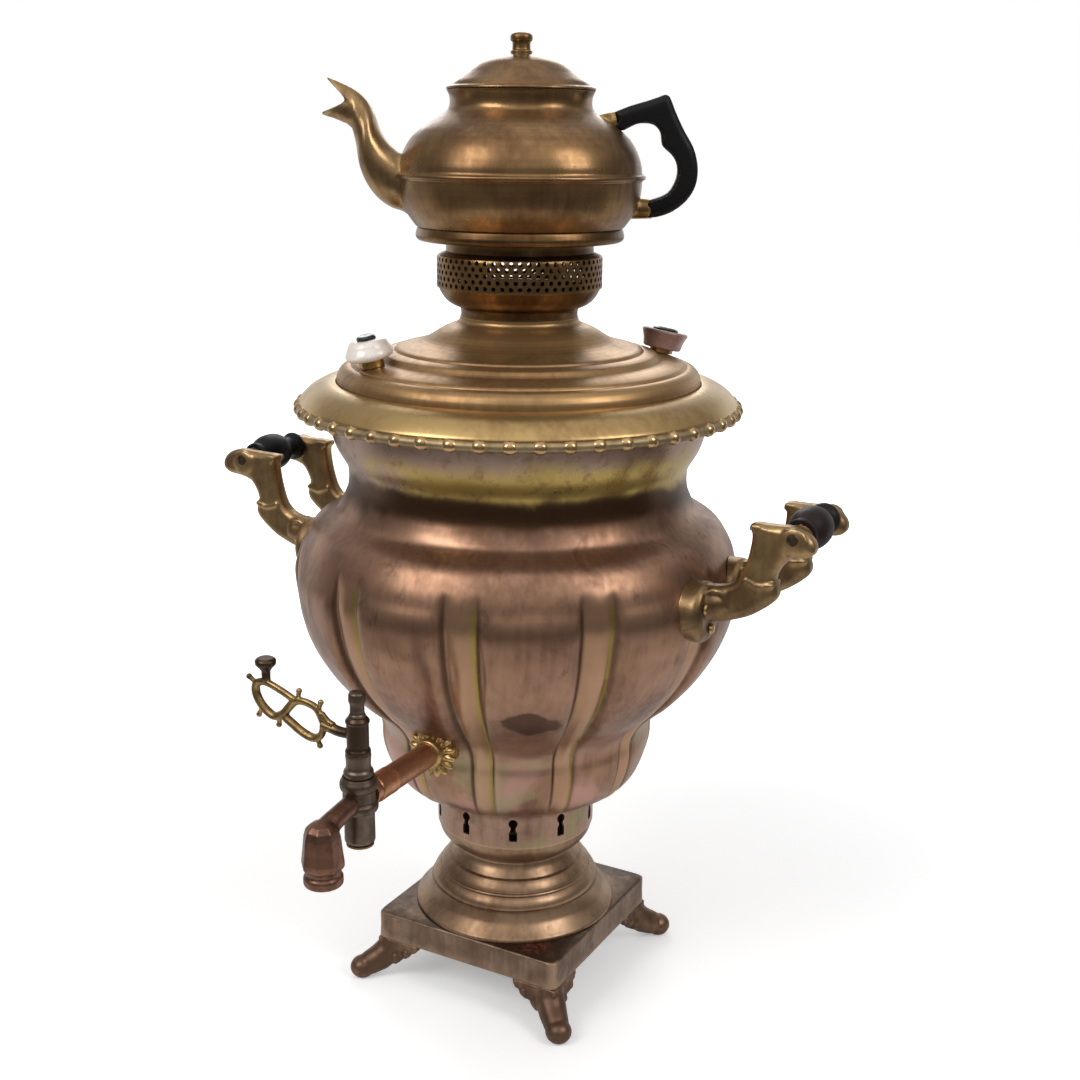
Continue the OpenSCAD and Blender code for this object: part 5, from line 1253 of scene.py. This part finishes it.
def key_bar(points, radius, widened=1.25):
    """A smooth bar of the key along points of (distance from the spindle, height)."""
    key_limb([(u, z, radius) for u, z in softened(points, 5)], 12, widened)


inner_leaf = [
    (22.8, 227.4), (25, 220.6), (30, 217.8), (37, 219.2), (45, 223.4), (50.2, 227.2), (46.6, 233),
    (41.5, 237.4), (35, 238), (27.6, 235.6)]
outer_leaf = [
    (43.4, 238), (46.8, 232.6), (51.6, 228), (57.6, 225.2), (65.4, 229.4), (70, 236.6), (69.4, 242.4),
    (63.6, 244.6), (53, 241.8)]
for leaf in (inner_leaf, outer_leaf):
    key_bar(leaf + leaf[:1], key_bar_r)
key_bar([(4, 225.6), (12, 225.4), (17.5, 226.2), (24, 227.2)], 3.0, 1.0)
key_bar([(16, 228.2), (20, 229.6), (24.6, 233.6)], 1.9)
thorns = (
    ((40.6, 238), (39.4, 243.9)), ((53.4, 226.4), (54.5, 220.6)), ((69, 242.4), (74.8, 245.8)),
    ((27.6, 218.8), (26, 214)), ((26.6, 234.6), (24.6, 240)), ((66, 229.4), (68.6, 224)),
    ((62.6, 244), (62.5, 253)))
for (root_u, root_z), (tip_u, tip_z) in thorns:
    key_limb([(root_u, root_z, 1.9), ((root_u + tip_u) / 2, (root_z + tip_z) / 2, 1.35),
              (tip_u, tip_z, 1.5)], 12)
    ball_in(key_form, (-tip_u, -barrel_at, tip_z), 1.75)
stud_at = 62.5
stud_line = [(246, 2.5), (251.5, 2.6), (253.6, 4.2), (255.4, 5.9), (257.8, 6.1), (259.2, 4.6)]
key_limb([(stud_at, z, radius) for z, radius in stud_line], 24)
for low, high, low_r, high_r in ((215.5, 217, 7, 7.2), (217, 219, 7.2, 6.2), (219, 233.6, 6.2, 6.2),
                                 (233.6, 235, 6.8, 6.8), (235, 236.9, 6.8, 5.2)):
    key_limb([(0, low, low_r), (0, high, high_r)], 32)
key = cast_piece("tap_key_cast", key_form, 0.0004, 3)
cut_from(key, turned_piece("key_bore", [(0, 212), (2.6, 212), (2.6, 240), (0, 240)], 32, upright))


def dark_hub(tree, aged):
    """The hub and the tips stay as dark as the tap; the leaves between them are worn to yellow brass."""
    where = place_on(tree)
    parts = parts_of(tree, where)
    clouds = swing_of(tree, noise_of(tree, where, 150.0, 4.0), 0.012)
    reach = plus(tree, times(tree, parts["X"], -1.0), clouds)
    leaves = times(tree, band_of(tree, reach, 0.011, 0.02), band_of(tree, reach, 0.078, 0.068))
    low = band_of(tree, plus(tree, parts["Z"], clouds), 0.25, 0.244)
    colour = blend_of(tree, times(tree, leaves, low), tint("#4a3a2d"), aged.outputs["Color"])
    return colour, aged.outputs["Roughness"]


key_brass = old_metal("yellow key brass", "#a98c5a", "#745c3e", "#2b2018", "#cbb07c", patches=80.0,
                      brownness=0.48, specks=0.55, smooth=0.34, edges=0.5, hollows=0.9, bump=0.3,
                      over=dark_hub)
finished(key, key_brass, "plug", "key_brass", "tap_key")


# Handles: four cast brass arms riveted to the shoulder by round pads, in pairs that hold a turned grip on
# an iron rod. Their backs carry a scroll and a filed notch; dirt sits in every corner.
belly = 140.0
arm_y, grip_x, grip_z, pad_z = 28.0, 193.0, 331.0, 279.0
arm_half, rod_r = 3.0, 2.05


def arm_line(horn):
    """An arm's outline in X and Z on the +X side; the horn is what it reaches past the grip."""
    pad_top = [(-6, 17), (6, 17.6), (12, 18.4), (18, 21), (22, 25.2)]
    neck = [
        (-28.6, -21), (-26.6, -14), (-25.2, -6), (-25, 0), (-26.8, 2.8), (-25.4, 5.4), (-18, 5.7),
        (-11, 5.8)]
    horn_tip = [(-16, 6.3), (-9, 5.2), (-3, 1.6), (0, -3.6), (-1, -8.2), (-6, -10.8), (-14, -11.6)]
    grip_under = [(-4, -14), (-8, -19), (-10.4, -25)]
    elbow = [(-9, 22.8), (-8, 18.4), (-10.4, 13.4), (-18.4, 6.8)]
    pad_under = [(27.6, 2.4), (20, -0.6), (13, -3), (-6, -6)]
    stretches = ((belly, pad_z, pad_top), (grip_x, grip_z, neck), (grip_x + horn, grip_z, horn_tip),
                 (grip_x, grip_z, grip_under), (grip_x, pad_z, elbow), (belly, pad_z, pad_under))
    return [(x + out, z + up) for x, z, stretch in stretches for out, up in stretch]


def grease_and_painted_shade(tree, aged):
    """Darker brown, heavier on the arms at +X and low down: painted shade, with grease."""
    where = place_on(tree)
    parts = parts_of(tree, where)
    cloud = noise_of(tree, where, 70.0, 4.0, 0.6, 0.8)
    side = band_of(tree, parts["X"], -0.05, 0.05, 0.05, 0.36)
    top = band_of(tree, parts["Z"], 0.285, 0.315, 1.5, 0.3)
    amount = times(tree, times(tree, side, top), band_of(tree, cloud, 0.3, 0.65, 0.6, 1.2), clamp=True)
    # Painted shade with grease: the arms at +X and their lower parts go dark brown.
    colour = blend_of(tree, amount, aged.outputs["Color"], tint("#3d2d21"))
    return colour, plus(tree, aged.outputs["Roughness"], times(tree, amount, 0.08))


arm_brass = old_metal("handle brass", "#b99a6c", "#8a6c4a", "#33271b", "#d0b27e", patches=48.0,
                      brownness=0.55, specks=0.5, smooth=0.36, edges=0.5, hollows=1.0, bump=0.3,
                      depth=0.0005, over=grease_and_painted_shade)
belly_gauge = [(float(side_of(h)) + 0.15, h) for h in np.linspace(89, 189, 51)]
belly_gauge = raised([(0.0, 89), *belly_gauge, (0.0, 189)], urn_low)
across_grip = Matrix.Translation((grip_x * mm, 0, grip_z * mm)) @ lying


def arm_limb(made, stations, sides, origin, y=-arm_y):
    """A limb of an arm through stations of (X, Z, radius), measured from an origin in X and Z."""
    limb_in(made, [((origin[0] + x, y, origin[1] + z), radius) for x, z, radius in stations], sides)


for side, horn in (("right", 12), ("left", 19)):
    arm_form = filed_blank(softened(arm_line(horn), 2), -arm_y - arm_half, -arm_y + arm_half,
                           ((1.2, 1.4), (1.3, 1.0), (1.5, 0.5)))
    arm_limb(arm_form, [(-12, 0, 18.2), (0.6, 0, 18.2), (3, 0, 16.9), (4.6, 0, 13)], 48, (belly, pad_z))
    arm_limb(arm_form, [(2, 6, 10.4), (8, 6.6, 8.6), (16, 8.4, 7.2)], 32, (belly, pad_z))
    for outside in (-1, 1):
        face = -arm_y + outside * 5.6
        coil = [(7.5 - 0.33 * k, 2.6 - 0.42 * k) for k in range(16)]
        curl = [(reach * math.cos(a), reach * math.sin(a), 1.5) for reach, a in coil]
        arm_limb(arm_form, curl, 10, (belly + 10, pad_z + 9), face)
        arm_limb(arm_form, [(-28, -27, 1.3), (-19, -30, 1.6), (-9.6, -28, 1.5)], 10, (grip_x, grip_z), face)
        ball_in(arm_form, (grip_x, face, grip_z - 2), 8.6, (1, 0.22, 1))
    arm = cast_piece("arm_casting", arm_form, 0.0009, 5)
    cut_from(arm, turned_piece("belly_gauge", belly_gauge, 180))
    cut_from(arm, turned_piece("rod_hole", [(0, -40), (rod_r, -40), (rod_r, 40), (0, 40)], 24, across_grip))
    for end_name in ("front", "rear"):
        name = "arm_" + side + "_" + end_name
        piece = set_out(name + "_cast", arm.data.copy())
        flip = Matrix.Diagonal((1 if side == "right" else -1, 1 if end_name == "front" else -1, 1, 1))
        piece.data.transform(flip)
        if flip.determinant() < 0:
            piece.data.flip_normals()
        finished(piece, arm_brass, "samovar", "handle_brass", name)
    bpy.data.objects.remove(arm)

grip_half, grip_bore = arm_y - 6.3, 2.1
grip_line = softened([
    (grip_bore, -grip_half), (grip_bore, -grip_half), (8.4, -grip_half), (9.3, -grip_half + 0.8),
    (9.5, -grip_half + 2.6), (8.6, -grip_half + 4.6), (7.3, -grip_half + 6.4), (6.9, -11), (7.2, -8.6),
    (8.6, -7.2), (10.6, -4.8), (12, -1), (12.4, 3), (12.3, 7), (11.6, 11), (10.2, 14.4), (9, 16.8),
    (8.6, 18), (9.0, 19.2), (8.9, grip_half - 0.4), (8.4, grip_half), (8.4, grip_half),
    (grip_bore, grip_half), (grip_bore, grip_half)], 4)
brown_wood = glaze("dark brown wood", "#231713", "#170f0c", "#0b0705", 55.0, 0.44, 0.03)
for side, sign, wood, slot in (("left", -1, ebony, "black_wood"), ("right", 1, brown_wood, "brown_wood")):
    place = Matrix.Translation((sign * grip_x * mm, 0, grip_z * mm)) @ lying
    grip = turned_piece("grip_" + side + "_turned", grip_line, 72, place)
    finished(grip, wood, "samovar", slot, "grip_" + side)
rod_iron = dull_metal("rubbed rod iron", "#6e5e4a", "#3f342a", 0.42, 1.0, 200.0, 0.3)
coated_with(node["grip_rods"], rod_iron)
coated_with(node["handle_rivets"], ferrule_brass)


# Stage: a pale studio floor that runs out of sight in a pale room, a tall soft box on each side of the
# camera and a weaker one behind, and a room that polished metal sees dark at eye level, and light above
# and far behind.
def camera_turned(yaw, pitch, roll, swing):
    """Columns of the camera's turn: right, up and back."""
    yaw, pitch, roll = (math.radians(a) for a in (yaw, pitch, roll))
    ahead = Vector((math.sin(yaw) * math.cos(pitch), math.cos(yaw) * math.cos(pitch), -math.sin(pitch)))
    right = Vector((math.cos(yaw), -math.sin(yaw), 0))
    up = right.cross(ahead)
    level = right * math.cos(roll) + up * math.sin(roll)
    upright = up * math.cos(roll) - right * math.sin(roll)
    turn = Matrix((level, upright, -ahead)).transposed()
    return Matrix.Rotation(math.radians(swing), 3, "Z") @ turn


camera = set_out("camera", bpy.data.cameras.new("camera"))
camera.data.sensor_width, camera.data.lens = 36.0, 48.71
camera.data.clip_start, camera.data.clip_end = 0.02, 50
camera_stand = Matrix.Translation((0.4427, -0.7774, 0.5437))
camera.matrix_world = camera_stand @ camera_turned(0.91, 15.52, 0.69, 29.66).to_4x4()
bpy.context.scene.camera = camera
bpy.context.scene.view_settings.view_transform = "Standard"

away = (-0.495, 0.869, 0.0)
ground = bmesh.new()
bmesh.ops.create_circle(ground, cap_ends=True, segments=96, radius=6.0)
ground_mesh = bpy.data.meshes.new("floor")
ground.to_mesh(ground_mesh)
ground.free()
floor = set_out("floor", ground_mesh)
floor_paper, tree, shader = new_finish("pale floor paper")
shader.inputs["Roughness"].default_value = 0.9
shader.inputs["Specular IOR Level"].default_value = 0.1
spot = place_on(tree)
far = put(tree, "VectorMath", {0: spot}, operation="LENGTH").outputs["Value"]
back = along_of(tree, spot, away)
shadowed = times(tree, band_of(tree, far, 0.45, 0.8), band_of(tree, back, 0.3, -0.1))
shadowed = times(tree, shadowed, put(tree, "LightPath").outputs["Is Glossy Ray"])
tree.links.new(blend_of(tree, shadowed, (0.9, 0.9, 0.9, 1), (0.1, 0.1, 0.1, 1)), shader.inputs["Base Color"])
lift = band_of(tree, far, 0.25, 1.1, 0.32, 1.0)
seen = put(tree, "LightPath").outputs["Is Camera Ray"]
shader.inputs["Emission Color"].default_value = (1, 1, 1, 1)
tree.links.new(times(tree, lift, seen), shader.inputs["Emission Strength"])
floor.data.materials.append(floor_paper)

room = bpy.data.worlds.new("pale room")
bpy.context.scene.world = room
room.use_nodes = True
tree = room.node_tree
tree.nodes.clear()
path = put(tree, "LightPath")
way = put(tree, "TexCoord").outputs["Generated"]
behind = along_of(tree, way, away)
above = parts_of(tree, way)["Z"]
wall = times(tree, band_of(tree, behind, 0.3, 0.8), band_of(tree, above, 0.5, 0.2, 0.2, 1.0))
ceiling = plus(tree, band_of(tree, above, 0.3, 0.6, 0.13, 0.4), band_of(tree, above, 0.65, 0.95, 0.0, 0.5))
frontal = along_of(tree, way, (0.347, -0.608, 0.714))
ceiling = plus(tree, ceiling, band_of(tree, frontal, 0.78, 0.96, 0.0, 0.45))
backdrop = reckoned(tree, "MAXIMUM", wall, ceiling)
mirrored = reckoned(tree, "MAXIMUM", path.outputs["Is Glossy Ray"], path.outputs["Is Transmission Ray"])
room_level = 0.45
strength = plus(tree, room_level, times(tree, mirrored, reckoned(tree, "SUBTRACT", backdrop, room_level)))
strength = reckoned(tree, "MAXIMUM", strength, path.outputs["Is Camera Ray"])
glow = put(tree, "Background", {"Color": (1, 1, 1, 1), "Strength": strength})
out = put(tree, "OutputWorld")
tree.links.new(glow.outputs["Background"], out.inputs["Surface"])


def soft_window(name, place, aim, wide, high, power):
    """A soft rectangular light that faces a point."""
    light = bpy.data.lights.new(name, "AREA")
    light.shape, light.size, light.size_y, light.energy = "RECTANGLE", wide, high, power
    lamp = set_out(name, light)
    back = (Vector(place) - Vector(aim)).to_track_quat("Z", "Y").to_matrix().to_4x4()
    lamp.matrix_world = Matrix.Translation(place) @ back


soft_window("left_box", (-0.55, -1.35, 1.5), (0, 0, 0.32), 0.8, 1.0, 14.5)
soft_window("right_box", (1.5, -0.13, 1.45), (0, 0, 0.32), 0.7, 0.9, 10)
soft_window("back_box", (-0.7, 1.2, 1.1), (0, 0, 0.3), 0.9, 0.7, 5.5)
